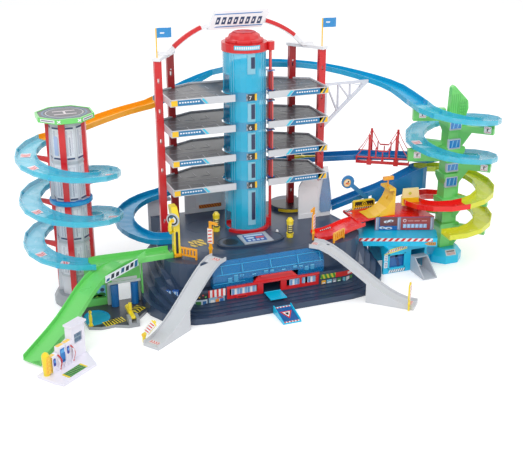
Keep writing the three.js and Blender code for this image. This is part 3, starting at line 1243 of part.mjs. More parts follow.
// Cyan garage building: roof slab, walls with an arch, a window and a door, and the right tower's foot
function garageBuilding() {
  const g = garage;
  const under = g.slabTop - g.slab;
  const roof = slab([[g.slabFrontLeftX, g.slabFrontLeftY], [g.slabFrontRightX, g.slabFrontRightY],
    [g.slabBackRightX, g.slabBackRightY], [g.slabRearX, g.slabRearY], [fire.cornerX, fire.backY],
    [g.slabLeftX, g.slabLeftY]], under, g.slabTop);
  const hollow = slab([[g.slabFrontLeftX + g.slab, g.slabFrontLeftY + g.slab / 4], [g.slabFrontRightX - g.slab / 2, g.slabFrontRightY + g.slab / 2],
    [g.slabRearX - g.slab / 2, g.slabRearY - g.slab / 2], [g.slabLeftX + g.slab / 2, g.slabLeftY - g.slab]], under - overrun, g.slabTop - g.wall);
  const front = upright([[g.wallLeft, 0], [g.doorLeft, 0], [g.doorLeft, g.doorHeight], [g.doorRight, g.doorHeight], [g.doorRight, 0],
    [g.wallRight, 0], [g.wallRight, under + gap], [g.wallLeft, under + gap]], g.wallFront, g.wallFront + g.wall, [
    [[g.windowLeft, g.windowLow], [g.windowRight, g.windowLow], [g.windowRight, g.windowHigh], [g.windowLeft, g.windowHigh]]]);
  const archMid = (g.wallFront + g.wallBack) / 2;
  const archRadius = (g.wallBack - g.wallFront) / 2 - g.wall * 2;
  const archTop = arcPoints(archMid, under - archRadius - g.wall * 2, archRadius, 0, 180, 8);
  const leftOutline = toShape([[g.wallFront, 0], [g.wallFront + g.wall * 2, 0], ...archTop.slice().reverse(),
    [g.wallBack - g.wall * 2, 0], [g.wallBack, 0], [g.wallBack, under + gap], [g.wallFront, under + gap]]);
  const left = new THREE.ExtrudeGeometry(leftOutline, { depth: g.wall, bevelEnabled: false });
  left.rotateX(Math.PI / 2).rotateZ(Math.PI / 2).translate(g.wallLeft, 0, 0);
  const back = box(g.wallLeft, g.wallRight, g.wallBack - g.wall, g.wallBack, 0, under + gap);
  const right = box(g.wallRight - g.wall, g.wallRight, g.wallFront, g.wallBack, 0, under + gap);
  const bracket = crosswise([[g.wallFront - g.slab, under + gap], [g.wallFront + gap, under - g.slab], [g.wallFront + gap, under + gap]],
    g.wallLeft, g.wallLeft + g.wall);
  const t = rightTower;
  const foot = turned(0, 0, 0, [[0, 0], [t.footRadius, 0], [t.footRadius, t.footShoulder],
    [t.width * 0.82, t.foot], [0, t.foot]], 8).rotateZ(turn / 16).translate(t.x, t.y, 0);
  const link = box(g.wallRight - g.wall, t.x - t.footRadius * 0.8, t.y - g.slab / 2, t.y + g.slab / 2, 0, t.footShoulder);
  return largest(cut(join(cut(roof, hollow), front, left, back, right, bracket, foot, link), podiumMass(gap)));
}

function tunnelRamp() {
  const t = tunnel;
  const back = garage.wallFront + garage.wall / 2;
  const front = back - t.length;
  const left = garage.doorLeft + gap;
  const right = garage.doorRight - gap;
  const side = [[front, 0], [back, 0], [back, t.height], [back - t.hood, t.height], [front, t.footHeight]];
  const block = crosswise(side, left, right);
  const way = crosswise([[front - overrun, t.wall], [back + overrun, t.wall + t.footHeight], [back + overrun, t.height - t.wall],
    [back - t.hood, t.height - t.wall], [back - t.hood - overrun, t.height + overrun], [front - overrun, t.height]],
  left + t.wall, right - t.wall);
  return cut(block, way);
}

// White lattice bracket between the front right pillar and the top track
function trussPiece() {
  const t = truss;
  const half = t.depth / 2;
  const outline = [[0, t.low], [0, t.high], [t.reach, t.high - t.bar], [t.reach, t.high - t.bar * 2]];
  const plate = upright(outline, -half, half);
  const holes = [];
  for (let i = 0; i < t.cells; i += 1) {
    const a = t.bar + (t.reach - t.bar * 4) * i / t.cells;
    const b = t.bar + (t.reach - t.bar * 4) * (i + 1) / t.cells - t.bar / 2;
    const roofAt = (x) => t.high - t.bar - t.bar * x / t.reach;
    const floorAt = (x) => mix(t.low, t.high - t.bar * 2, x / t.reach) + t.bar * 1.4;
    if (roofAt(b) - floorAt(b) > t.bar) {
      holes.push([[a, floorAt(a)], [b - t.bar / 2, floorAt(b)], [a, roofAt(a)]]);
      holes.push([[b, floorAt(b) + t.bar / 3], [b, roofAt(b)], [a + t.bar / 2, roofAt(a)]]);
    } else {
      holes.push([[a, floorAt(a)], [b, roofAt(b) - t.bar / 3], [a, roofAt(a)]]);
    }
  }
  return cut(plate, ...holes.map((hole) => upright(hole, -t.depth, t.depth)));
}

// Car wash, pond and the crossing lever

function pondPlate() {
  const w = wash;
  const back = leftTower.y - leftTower.footRadius - gap * 2;
  const left = pond.x - pond.radiusX;
  const rightX = w.right + w.post / 2;
  const front = lever.y - lever.block;
  const outline = [[left, back - pond.radiusY * 0.6], [left + pond.radiusX / 4, back], [rightX, back], [rightX, pond.y],
    [lever.x + lever.block / 2, lever.y], [lever.x + lever.block / 2, front], [lever.x - lever.block / 2, front],
    [pond.x + pond.radiusX * 0.9, pond.y - pond.radiusY * 1.25], [pond.x, pond.y - pond.radiusY * 1.3], [pond.x - pond.radiusX * 0.8, pond.y - pond.radiusY]];
  const plate = slab(outline, 0, w.plate);
  const basin = [];
  for (let i = 0; i < 16; i += 1) {
    const angle = i / 16 * turn;
    basin.push([pond.x + pond.radiusX * 0.9 * Math.cos(angle), pond.y + pond.radiusY * 0.9 * Math.sin(angle)]);
  }
  const blockTop = w.plate + lever.blockHeight;
  const blockCut = box(lever.x - lever.width / 2 - gap * 2, lever.x + lever.width / 2 + gap * 2, front - overrun, lever.y + lever.block,
    w.plate + lever.height / 3, blockTop + overrun);
  const block = cut(box(lever.x - lever.block / 2, lever.x + lever.block / 2, front, front + lever.block, w.plate - gap, blockTop), blockCut);
  const frameTop = w.plate + w.height;
  const frame = upright([[w.left, w.plate - gap], [w.left + w.post, w.plate - gap], [w.left + w.post, frameTop], [w.right - w.post, frameTop],
    [w.right - w.post, w.plate - gap], [w.right, w.plate - gap], [w.right, frameTop + w.beam], [w.left, frameTop + w.beam]],
  w.y - w.depth / 2, w.y + w.depth / 2);
  const shelf = box(w.left, w.right, w.y - w.depth - w.rollerRadius, w.y, frameTop, frameTop + w.beam);
  const figure = turned(pond.x - pond.radiusX * 0.62, pond.y - pond.radiusY * 0.9, w.plate - gap,
    [[0, 0], [5, 0], [4, 3], [2.6, 6], [3.4, 15], [2.8, 22], [1.6, 24], [3, 26], [3, 29], [0, 31]].map(([r, z]) => (
      [r * lever.pegRadius / 3.5, z * lever.peg / 22])), 6);
  const pins = rollerSpots().flatMap(([x, y]) => [
    drum(x, y, w.pin + gap, w.plate - w.pinLength, w.plate + overrun, 8),
    drum(x, y, w.pin + gap, frameTop - overrun, frameTop + w.pinLength, 8)]);
  const whole = join(cut(plate, slab(basin, w.plate - pond.depth, w.plate + overrun)), block, frame, shelf, figure);
  return cut(whole, ...pins, podiumMass(gap));
}

function rollerSpots() {
  const y = wash.y - wash.depth / 2 - wash.rollerRadius - gap * 2;
  return [[wash.left + wash.rollerInset, y], [wash.right - wash.rollerInset, y]];
}

function rollerPiece(x, y) {
  const w = wash;
  const body = turned(x, y, w.plate + gap * 2, [[0, 0], [w.rollerRadius, 0], [w.rollerRadius, w.height - gap * 4], [0, w.height - gap * 4]], 12);
  const pin = drum(x, y, w.pin, w.plate - w.pinLength + gap * 2, w.plate + w.height + w.pinLength - gap * 2, 8);
  return join(body, pin);
}

const leverPivotZ = wash.plate + lever.blockHeight * 0.75;

function leverPiece() {
  const l = lever;
  const low = leverPivotZ - l.height / 2;
  const back = l.y + l.length - l.block;
  const beam = box(l.x - l.width / 2, l.x + l.width / 2, l.y - l.block / 2, back, low, low + l.height);
  const hub = new THREE.CylinderGeometry(l.height * 0.55, l.height * 0.55, l.width, 12).rotateZ(Math.PI / 2)
    .translate(l.x, l.y - l.block / 2, leverPivotZ);
  const peg = drum(l.x, l.y + l.block * 0.6, l.pegRadius, low, low + l.peg, 10);
  const bumps = [0.25, 0.58, 0.9].map((s) => drum(l.x, mix(l.y + l.block, back, s), l.width / 3, low + l.height - gap,
    low + l.height + l.pegRadius / 2, 6));
  return join(beam, hub, peg, ...bumps);
}

// Green track: the straight run to the podium, the ramp to the floor, its legs and the slanting sign
function greenTrack() {
  const end = leftHelix.start + leftHelix.sweep;
  const first = helixLead(leftTower, leftHelix, end, seam);
  const lead = helixLead(leftTower, leftHelix, end, track.width / 2);
  const z = podium.height + gap;
  first.z = z;
  lead.z = z;
  const podiumX = -podium.halfWidth + podium.frontInset + track.wall;
  const straight = squareEnded([first, lead, vector(mix(lead.x, podiumX, 0.5), -93, z), vector(podiumX, -91, z)], 8);
  const half = greenRamp.width / 2;
  const reach = track.width / 2 + seam;
  const spiralEnd = sweep(helixPath(leftTower, leftHelix).slice(-6), [
    [-reach, -overrun], [reach, -overrun], [reach, track.floor + track.lip + seam], [-reach, track.floor + track.lip + seam]]);
  const join0 = straight[2];
  const join1 = straight[4];
  const side = curve([vector(join1.x + half, join1.y + 0, z), vector(join0.x + half, join0.y - half * 0.5, z),
    vector(mix(join0.x, greenRamp.footX, 0.22), mix(join0.y, greenRamp.footY, 0.3), z * 0.86),
    vector(mix(join0.x, greenRamp.footX, 0.6), mix(join0.y, greenRamp.footY, 0.66), z * 0.4),
    vector(greenRamp.footX, greenRamp.footY, greenRamp.footHeight)], 12);
  const tracks = largest(cut(join(channelBlock(straight), channelBlock(side, greenRamp.width)),
    channelWay(straight), channelWay(side, greenRamp.width), spiralEnd));
  const legFoot = wash.plate + gap;
  const panelRight = wash.left - gap * 2;
  const panelTie = first.x + seam * 3;
  const panel = upright([[wash.left - greenRamp.width, legFoot], [panelRight, legFoot], [panelRight, z + gap],
    [panelTie, z + gap], [panelTie, z - seam], [wash.left - greenRamp.width, z - seam]],
  wash.y, wash.y + greenRamp.legThickness);
  const leg = box(wash.right - greenRamp.legThickness + wash.post / 2 - gap, wash.right + wash.post / 2 - gap, wash.y - wash.depth * 2, wash.y, legFoot, z + gap);
  const s = washSign;
  const signFront = -93 - track.width / 2 - s.thickness;
  const signLeft = wash.left - s.thickness;
  const sign = upright([[signLeft, z - s.rise * 0.7], [signLeft + s.length, z + s.rise * 0.3], [signLeft + s.length, z + s.rise * 0.3 + s.height],
    [signLeft, z - s.rise * 0.7 + s.height]], signFront, signFront + s.thickness + gap * 3);
  return join(tracks, panel, largest(cut(leg, podiumMass(gap))), sign);
}

// Filling station: slab, shop, three pumps with moulded hoses and a round pylon
function fillingStation() {
  const s = station;
  const right = s.length + s.tail;
  const parts = [slab([[0, 0], [s.length, 0], [right, s.width - s.shopDepth], [right, s.width], [-s.roof, s.width],
    [-s.roof, s.width / 3]], 0, s.slab)];
  const shopLeft = right - s.shopLength;
  const shopBack = s.width - gap;
  const shop = box(shopLeft, right - s.roof, shopBack - s.shopDepth, shopBack, s.slab - gap, s.slab + s.shopHeight);
  const pane = box(shopLeft + s.roof * 2, right - s.roof * 3, shopBack - s.shopDepth - overrun, shopBack - s.shopDepth + s.roof,
    s.slab + s.shopHeight * 0.45, s.slab + s.shopHeight * 0.75);
  parts.push(cut(shop, pane));
  parts.push(box(shopLeft - s.roof, right, shopBack - s.shopDepth - s.roof, shopBack, s.slab + s.shopHeight - gap, s.slab + s.shopHeight + s.roof));
  const pumpBack = shopBack - s.shopDepth / 2;
  for (let i = 0; i < 3; i += 1) {
    const x = s.pylonRadius * 2 + s.roof + i * (s.pumpWidth + s.roof / 2);
    const tall = s.pumpHeight * (i ? 1.15 : 0.85);
    parts.push(box(x, x + s.pumpWidth, pumpBack - s.pumpDepth, pumpBack, s.slab - gap, s.slab + tall));
    const front = pumpBack - s.pumpDepth;
    const hose = new THREE.CatmullRomCurve3([vector(x + s.pumpWidth * 0.8, front + s.hoseRadius, s.slab + tall * 0.9),
      vector(x + s.pumpWidth * 0.9, front - s.hoseRadius * 3, s.slab + tall * 0.5), vector(x + s.pumpWidth * 0.8, front - s.hoseRadius, s.slab + s.roof)]);
    const section = toShape(octagon(s.hoseRadius).filter((point, k) => k % 2 === 0));
    parts.push(new THREE.ExtrudeGeometry(section, { steps: 5, bevelEnabled: false, extrudePath: hose }));
    parts.push(box(x + s.pumpWidth * 0.6, x + s.pumpWidth, front - s.hoseRadius * 2, front + gap, s.slab - gap, s.slab + s.roof * 2));
  }
  parts.push(turned(s.pylonRadius, s.width - s.pylonRadius * 2, s.slab - gap, [[0, 0], [s.pylonRadius * 0.8, 0], [s.pylonRadius, s.pylonHeight * 0.75],
    [s.pylonRadius, s.pylonHeight * 0.9], [s.pylonRadius * 0.7, s.pylonHeight], [0, s.pylonHeight + s.roof]], 14));
  return placed(join(...parts), s.turn, s.x, s.y);
}

// Assembly

add('base_moulding', baseMoulding(), colours.navy, 0.5);
add('shop_front', shopFront(), colours.red);
add('front_window', frontWindow(), colours.clearBlue, 0.15, 0.6);
add('door_flap', doorFlap(), colours.skyBlue, 0.25);
add('exit_ramp', exitRampPlate(), colours.cyan);
add('left_ramp', rampPiece(ramp.leftTopX, ramp.leftTopY, ramp.leftFootX, ramp.leftFootY), colours.grey, 0.5);
add('right_ramp', rampPiece(ramp.rightTopX, ramp.rightTopY, ramp.rightFootX, ramp.rightFootY), colours.grey, 0.5);

// Barrier arms beside the heads and the feet of the grey ramps
function barrierSpot(topX, topY, footX, footY, side, atFoot) {
  const length = Math.hypot(footX - topX, footY - topY);
  const wayX = (footX - topX) / length;
  const wayY = (footY - topY) / length;
  const reach = ramp.width / 2 + barrier.hubRadius + gap;
  const x = (atFoot ? footX + wayX * ramp.landing / 2 : topX - wayX * barrier.hubRadius) - wayY * reach * side;
  const y = (atFoot ? footY + wayY * ramp.landing / 2 : topY - wayY * barrier.hubRadius) + wayX * reach * side;
  const angle = Math.atan2(-wayX * side, wayY * side) / degree;
  const z = (atFoot ? 0 : podium.height) + barrier.tail + gap;
  return { x, y, z, angle };
}

const leftEnds = [ramp.leftTopX, ramp.leftTopY, ramp.leftFootX, ramp.leftFootY];
const rightEnds = [ramp.rightTopX, ramp.rightTopY, ramp.rightFootX, ramp.rightFootY];
for (const [name, ends, side, atFoot, length, bent, lean] of [
  ['barrier_top_left', leftEnds, -1, false, barrier.length, true, 0],
  ['barrier_top_right', rightEnds, 1, false, barrier.length, true, 0],
  ['barrier_foot_left', leftEnds, -1, true, barrier.footLength, false, barrier.lean],
  ['barrier_foot_right', rightEnds, -1, true, barrier.footLength, false, 0],
]) {
  const spot = barrierSpot(...ends, side, atFoot);
  const mesh = add(name, barrierArm(length, bent, lean), colours.orange);
  mesh.position.set(spot.x, spot.y, spot.z);
  mesh.rotation.z = spot.angle * degree;
}

add('sound_panel', soundPanelPiece(), colours.navy, 0.45);
add('sound_button', soundButtonPiece(), colours.grey, 0.4);
add('rear_wall', rearWall(), colours.white);
add('side_wall', sideWallPiece(), colours.white);
add('gantry', gantryPiece(), colours.yellow);
add('fence_right', placed(fencePanel(), 30, 142, -144.5, podium.height + gap), colours.orange);
add('bollard_left', turned(bollard.leftX, bollard.leftY, podium.height + gap, bollardPost(), 9), colours.yellow);
add('bollard_right', turned(bollard.rightX, bollard.rightY, podium.height + gap, bollardPost(), 9), colours.yellow);

add('lift_tube', liftTube(), colours.clearBlue, 0.12, 0.55);
add('lift_frame', liftFrame(), colours.red);
add('lift_platform', liftPlatform(), colours.red);
add('lift_knob', liftKnob(), colours.red, 0.25);
levels.forEach((level, i) => add(`deck_${i + 4}`, deckPiece(level), colours.deckGrey, 0.45));
add('pillar_front_left', pillarPiece(-pillar.frontX, pillar.frontY, podium.height), colours.red);
add('pillar_front_right', pillarPiece(pillar.frontX, pillar.frontY, podium.height), colours.red);
add('pillar_back_left', pillarPiece(-pillar.backX, pillar.backY, podium.height), colours.red);
add('pillar_back_right', pillarPiece(pillar.backX, pillar.backY, podium.height + podium.ledgeHeight), colours.red);
add('arch_sign', archSign(), colours.white);

add('left_tower', leftTowerPiece(), colours.white);
add('landing_pad', padPiece(), colours.green);
add('left_spiral', channel(helixPath(leftTower, leftHelix)), colours.skyBlue, 0.15, 0.7);
add('orange_chute', channel(orangePath()), colours.orange);
add('top_track', topTrackPiece(), colours.blue, 0.2, 0.85);
add('rear_loop_track', channel(rearLoopPath()), colours.darkBlue);
add('rear_leg', rearLegPiece(), colours.grey);
add('bridge_track', channel(bridgePath()), colours.darkBlue);
add('bridge_frame', bridgeFrame(), colours.red);
const points = switchPiece();
const pointsMesh = add('track_points', points.geometry, colours.yellow);
pointsMesh.position.set(points.spot.x, points.spot.y, 0);
pointsMesh.rotation.z = points.angle;
add('truss_bracket', placed(trussPiece(), 12, pillar.frontX + pillar.width / 2 + gap * 3, pillar.frontY), colours.white);
add('right_tower', rightTowerPiece(), colours.green);
add('upper_spiral', channel(helixPath(rightTower, upperHelix)), colours.skyBlue, 0.15, 0.7);
add('lower_spiral', channel(lowerHelixPath()), colours.lime);
add('jump_ramp', jumpRamp(), colours.darkBlue);
const targetMesh = add('jump_target', targetPiece(), colours.blue);
targetMesh.position.set(target.x, target.y, target.z);
targetMesh.rotation.y = target.lean * degree;
add('fire_station', fireStation(), colours.red);
add('quarter_pipe', chutePiece(), colours.yellow, 0.2, 0.85);
add('plunger', plungerPiece(), colours.orange);
add('garage_building', garageBuilding(), colours.cyan);
add('tunnel_ramp', tunnelRamp(), colours.grey);
add('pond_plate', pondPlate(), colours.charcoal);
rollerSpots().forEach(([x, y], i) => add(`wash_roller_${i ? 'right' : 'left'}`, rollerPiece(x, y), colours.blue));
add('crossing_lever', leverPiece(), colours.yellow);
add('green_track', greenTrack(), colours.green);
add('filling_station', fillingStation(), colours.white);

export default group;
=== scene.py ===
"""Toy parking garage with a lift: plastics, printed panels and small fittings, laid out as a Blender add-on.

Measures are millimetres in the shared frame and become metres when a piece is made. Every new piece is a
set of closed solids: outlines pushed out of a plane, curved plates, rods, turned profiles and strips. The
numbers of one solid are its measures in its own plane, then the two heights over that plane.
"""
import math

import bpy
import numpy as np
from mathutils import Matrix


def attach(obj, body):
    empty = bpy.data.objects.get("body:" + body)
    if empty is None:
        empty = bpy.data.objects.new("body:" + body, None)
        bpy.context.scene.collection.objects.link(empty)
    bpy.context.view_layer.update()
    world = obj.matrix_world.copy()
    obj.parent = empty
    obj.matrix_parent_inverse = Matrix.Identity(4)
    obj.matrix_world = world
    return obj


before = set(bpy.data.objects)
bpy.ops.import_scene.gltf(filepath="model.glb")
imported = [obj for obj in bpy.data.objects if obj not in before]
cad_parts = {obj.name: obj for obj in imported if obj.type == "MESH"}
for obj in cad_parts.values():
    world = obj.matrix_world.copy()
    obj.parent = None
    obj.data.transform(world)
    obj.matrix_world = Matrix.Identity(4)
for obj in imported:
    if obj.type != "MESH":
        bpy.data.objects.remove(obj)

bl_info = {
    "name": "Toy parking garage",
    "version": (1, 0, 0),
    "blender": (4, 5, 0),
    "location": "View3D > Sidebar > Garage",
    "description": "Dresses the toy parking garage: plastics, printed panels and fittings",
    "category": "Object",
}

MM = 0.001
TURN = 2 * math.pi
ROOT = "playset"
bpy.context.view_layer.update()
# Top of each parking deck, and with it the digit of its number
LEVELS = (200, 258.5, 317, 375.5)
DECKS = tuple(zip(LEVELS, "4567"))
# Clear strips up the tube: foot and head of each, then foot and head of its slot, whose opening is painted as
# a dark plate of shade
STRIPS = ((415.7, 454.2, 425.4, 446.8), (323.7, 359.2, 328.2, 357.0), (264.5, 301.0, 268.0, 298.0),
          (206.0, 242.0, 210.0, 239.0), (112.0, 184.0, 122.0, 180.0))
# Axes of the two towers, and of the disc that a rear pillar stands on
LEFT_TOWER = (-351, -22)
RIGHT_TOWER = (412, -100)
PILLAR_DISC = (128, 72)
# Outside radius of the lift tube, and the 0.05 that the pieces on it stand off
TUBE_SKIN = 42.05
# From the left tower's axis to its eight flat sides
TOWER_SIDE = 28.64
# Headings of its four ribs, in degrees, and heights of the bands around it
TOWER_RIBS = (-111, -21, 69, 159)
TOWER_BANDS = (128, 60, 283, 352)
# Heights of the podium, the sound panel, its button and the pond plate
PODIUM_TOP = 95
PANEL_TOP = 98.3
BUTTON_TOP = 99.2
PLATE_TOP = 6
# From a spiral's line up to its floor and out to its rims
TRACK_FLOOR = 2.5
TRACK_HALF = 19
# Front faces of the shop, the decks and the blue building
SHOP_FACE = -166
DECK_FACE = -43
BUILDING_FACE = -135
# Directions in the plan: out of the filling station's front, and along it
STATION_OUT = np.array([0.6, -0.8, 0])
STATION_ALONG = np.array([0.8, 0.6, 0])
# Axis, radius, top, fall in a turn and first angle of each spiral
LEFT_SPIRAL = (LEFT_TOWER, 75, 300, 83, 115)
UPPER_SPIRAL = (RIGHT_TOWER, 76, 334.4, 78, -190)
# Pivot, heading in radians and lean in degrees of each barrier arm
BARRIERS = (
    ("barrier_top_left", (-114.96, -124.62, 110.30), -0.9530, 0),
    ("barrier_top_right", (95.55, -125.97, 110.30), -2.3197, 0),
    ("barrier_foot_left", (-277.15, -239.86, 15.30), -0.9530, 38),
    ("barrier_foot_right", (217.02, -298.41, 15.30), 0.8219, 0),
)

# Printed and moulded colours that can be set in the panel, as screen values; dark_red darkens the rear
# pillars as painted shade
PAINTS = {
    "navy": (42, 62, 90), "red": (214, 26, 32), "dark_red": (172, 16, 24), "coral": (238, 92, 84),
    "blue": (18, 108, 184), "deep_blue": (0, 122, 190), "sky": (56, 198, 226), "tube_blue": (0, 196, 236),
    "window_blue": (0, 134, 204), "turquoise": (0, 192, 234), "teal": (18, 96, 128), "white": (240, 241, 244),
    "pale_grey": (204, 207, 212), "grey": (150, 154, 160), "asphalt": (72, 73, 78), "charcoal": (66, 68, 74),
    "black": (24, 25, 28), "yellow": (240, 214, 36), "orange": (250, 170, 26), "amber": (246, 196, 28),
    "green": (112, 212, 108), "lime": (222, 226, 44),
}
# Ink tones that several prints share
PALE_INK = (206, 222, 240)
DECK_INK = (24, 118, 168)
NIGHT_INK = (34, 44, 60)
MARK_INK = (206, 196, 200)
ARROW_RED = (226, 96, 96)
ARROW_EDGE = (238, 220, 226)


# Finishes

def linear(paint):
    """Screen value to linear light: the usual power curve with its straight foot."""
    if isinstance(paint, str):
        values = np.array(getattr(bpy.context.scene.garage_colours, paint)[:], dtype=float)
    else:
        values = np.array(paint) / 255
    curve = np.where(values <= 0.04045, values / 12.92, ((values + 0.055) / 1.055) ** 2.4)
    return tuple(float(v) for v in curve) + (1.0,)


class Wire:
    """A node socket that takes part in Python arithmetic: every operator adds one Math node."""

    def __init__(self, tree, socket):
        self.tree = tree
        self.socket = socket

    def math(self, operation, *values):
        node = self.tree.nodes.new("ShaderNodeMath")
        node.operation = operation
        for target, value in zip(node.inputs, (self, *values)):
            plug(self.tree, target, value)
        return Wire(self.tree, node.outputs[0])

    def __add__(self, other):
        return self.math("ADD", other)

    __radd__ = __add__

    def __mul__(self, other):
        return self.math("MULTIPLY", other)

    def __truediv__(self, other):
        return self.math("DIVIDE", other)

    def __gt__(self, other):
        return self.math("GREATER_THAN", other)


def plug(tree, target, value):
    """Links a wire to a socket, or sets a plain value on it."""
    if isinstance(value, Wire):
        tree.links.new(value.socket, target)
    else:
        target.default_value = value


def background_ray(tree):
    """1 for rays from the camera and for mirrored and transmitted ones, 0 for the light on the object."""
    path = tree.nodes.new("ShaderNodeLightPath").outputs
    kinds = ("Camera", "Glossy", "Transmission")
    camera, glossy, through = (Wire(tree, path[f"Is {kind} Ray"]) for kind in kinds)
    return camera.math("MAXIMUM", glossy).math("MAXIMUM", through)


class Finish:
    """One material: its node tree, its shader and the one method that adds other nodes."""

    def __init__(self, name):
        self.material = bpy.data.materials.new(name)
        self.material.use_nodes = True
        self.tree = self.material.node_tree
        self.tree.nodes.clear()
        self.shader = self.tree.nodes.new("ShaderNodeBsdfPrincipled")
        output = self.tree.nodes.new("ShaderNodeOutputMaterial")
        self.tree.links.new(self.shader.outputs[0], output.inputs[0])

    def node(self, kind, settings=None, values=None, output=0):
        node = self.tree.nodes.new(kind)
        for key, value in (settings or {}).items():
            setattr(node, key, value)
        for key, value in (values or {}).items():
            plug(self.tree, node.inputs[key], value)
        return Wire(self.tree, node.outputs[output])

    def plan(self):
        """The piece's own flat measure, in metres."""
        measure = self.node("ShaderNodeUVMap", {"uv_map": "plan"})
        split = self.node("ShaderNodeSeparateXYZ", values={0: measure})
        return split, Wire(self.tree, split.socket.node.outputs[1])

    def noise(self, scale, detail=2.0):
        place = self.node("ShaderNodeTexCoord", output="Object")
        return self.node("ShaderNodeTexNoise", values={"Vector": place, "Scale": scale, "Detail": detail})

    def mix(self, share, first, second):
        mixed = self.node("ShaderNodeMix", {"data_type": "RGBA"}, output=2)
        sockets = mixed.socket.node.inputs
        for socket, value in ((0, share), (6, first), (7, second)):
            plug(self.tree, sockets[socket], value)
        return mixed

    def set(self, **values):
        for key, value in values.items():
            plug(self.tree, self.shader.inputs[key.replace("_", " ")], value)


FINISHES = {}


def plastic(paint, rough=0.34, alpha=1.0, coat=0.25, grain=0.35):
    """Moulded plastic: its colour drifts a few per cent, flow marks vary its gloss, a grain roughens it."""
    key = (paint, rough, alpha, coat, grain)
    if key in FINISHES:
        return FINISHES[key]
    kind = "clear" if alpha < 1 else "plastic"
    label = paint if isinstance(paint, str) else "_".join(str(v) for v in paint)
    finish = Finish(f"{label}_{kind}_{len(FINISHES)}")
    colour = np.array(linear(paint))
    darker = tuple(colour * (0.93, 0.93, 0.93, 1))
    lighter = tuple(np.minimum(colour * (1.05, 1.05, 1.05, 1) + (0.004, 0.004, 0.004, 0), 1))
    drift = finish.noise(14.0)
    flow = finish.noise(38.0, 3.0)
    fine = finish.noise(1600.0)
    relief = {"Strength": grain, "Distance": 0.06 * MM, "Height": fine + flow * 2.0}
    finish.set(Base_Color=finish.mix(drift, darker, lighter))
    finish.set(Roughness=flow * 0.14 + (rough - 0.07 + bpy.context.scene.garage_stage.matt_shift))
    finish.set(Coat_Weight=coat, Coat_Roughness=0.12, IOR=1.49)
    finish.set(Normal=finish.node("ShaderNodeBump", values=relief))
    if alpha < 1:
        finish.set(Alpha=alpha)
        finish.set(Specular_IOR_Level=0.6)
    FINISHES[key] = finish.material
    return finish.material


def printed(paint):
    """Printed sticker film: smooth, slightly glossy, with a faint mottle of the ink."""
    return plastic(paint, 0.3, 1.0, 0.1, 0.12)


def striped(name, first, second, period, slope=1.0, share=0.5):
    """Slanted bands over the piece's flat measure: the fraction of a slanted length decides the colour."""
    if name in FINISHES:
        return FINISHES[name]
    finish = Finish(name)
    across, along = finish.plan()
    whole_bands = 100.0
    band = ((across + along * slope) / period + whole_bands).math("FRACT") > share
    ink = finish.noise(30.0)
    base = finish.mix(band, linear(first), linear(second))
    shade = finish.mix(ink * 0.12, base, (0, 0, 0, 1))
    finish.set(Base_Color=shade, Roughness=0.3 + ink * 0.08)
    finish.set(Coat_Weight=0.15, Coat_Roughness=0.15)
    FINISHES[name] = finish.material
    return finish.material


# Outlines: arrays of flat points

def rect(left, low, right, high, corner=0.0, steps=3):
    """Rectangle whose corners are quarter circles."""
    if corner <= 0:
        return slanted(left, low, right, high, 0)
    angles = np.linspace(0, math.pi / 2, steps + 1)
    quarter = np.stack([np.cos(angles), np.sin(angles)], 1) * corner
    spin = np.array([[0, 1], [-1, 0]])
    centres = [(right - corner, high - corner), (left + corner, high - corner),
               (left + corner, low + corner), (right - corner, low + corner)]
    points = []
    for centre in centres:
        points.append(quarter + centre)
        quarter = quarter @ spin
    return np.concatenate(points)


def oval(x, y, across, along, steps=20):
    """Ellipse about a point."""
    angles = np.arange(steps) / steps * TURN
    return np.stack([x + across * np.cos(angles), y + along * np.sin(angles)], 1)


def slanted(left, low, right, high, lean):
    """Rectangle whose top is pushed aside."""
    return np.array([[left, low], [right, low], [right + lean, high], [left + lean, high]], float)


# Places: each is a function from flat points and heights to points in space

def direction(degrees):
    """Cosine and sine of an angle in degrees."""
    return math.cos(math.radians(degrees)), math.sin(math.radians(degrees))


def flat(origin, across, up):
    """Plane map: origin plus the across and up directions, and the third axis out of the plane."""
    a = np.array(across, float)
    a /= np.linalg.norm(a)
    u = np.array(up, float)
    u -= a * (u @ a)
    u /= np.linalg.norm(u)
    out = np.cross(a, u)
    start = np.array(origin, float)
    return lambda p: start + p[:, :1] * a + p[:, 1:2] * u + p[:, 2:3] * out


def ground(z, x=0.0, y=0.0, turn=0.0):
    """A level plane at a height, turned about its own point."""
    c, s = direction(turn)
    return flat((x, y, z), (c, s, 0), (-s, c, 0))


def front(y, x=0.0, z=0.0):
    """An upright plane that faces the front."""
    return flat((x, y, z), (1, 0, 0), (0, 0, 1))


def facet(x, y, apothem, middle):
    """An upright plane on one side of a post, whose normal points at an angle in degrees."""
    c, s = direction(middle)
    return flat((x + apothem * c, y + apothem * s, 0), (-s, c, 0), (0, 0, 1))


def rolled(x, y, radius, middle):
    """Cylinder map: the first measure runs round the wall from a middle angle, the second is height."""
    def run(p):
        angle = math.radians(middle) + p[:, 0] / radius
        reach = radius + p[:, 2]
        return np.stack([x + reach * np.cos(angle), y + reach * np.sin(angle), p[:, 1]], 1)
    return run


def helix_frames(centre, radius, top, pitch, start, angles):
    """Points, outward and forward directions along a spiral track, by its angle in degrees."""
    for angle in angles:
        c, s = direction(angle)
        out = np.array([c, s, 0])
        z = top - pitch * (angle - start) / 360
        way = np.array([-s, c, -pitch / 360 / math.radians(radius)])
        yield np.array([*centre, z]) + out * radius, out, way / np.linalg.norm(way)


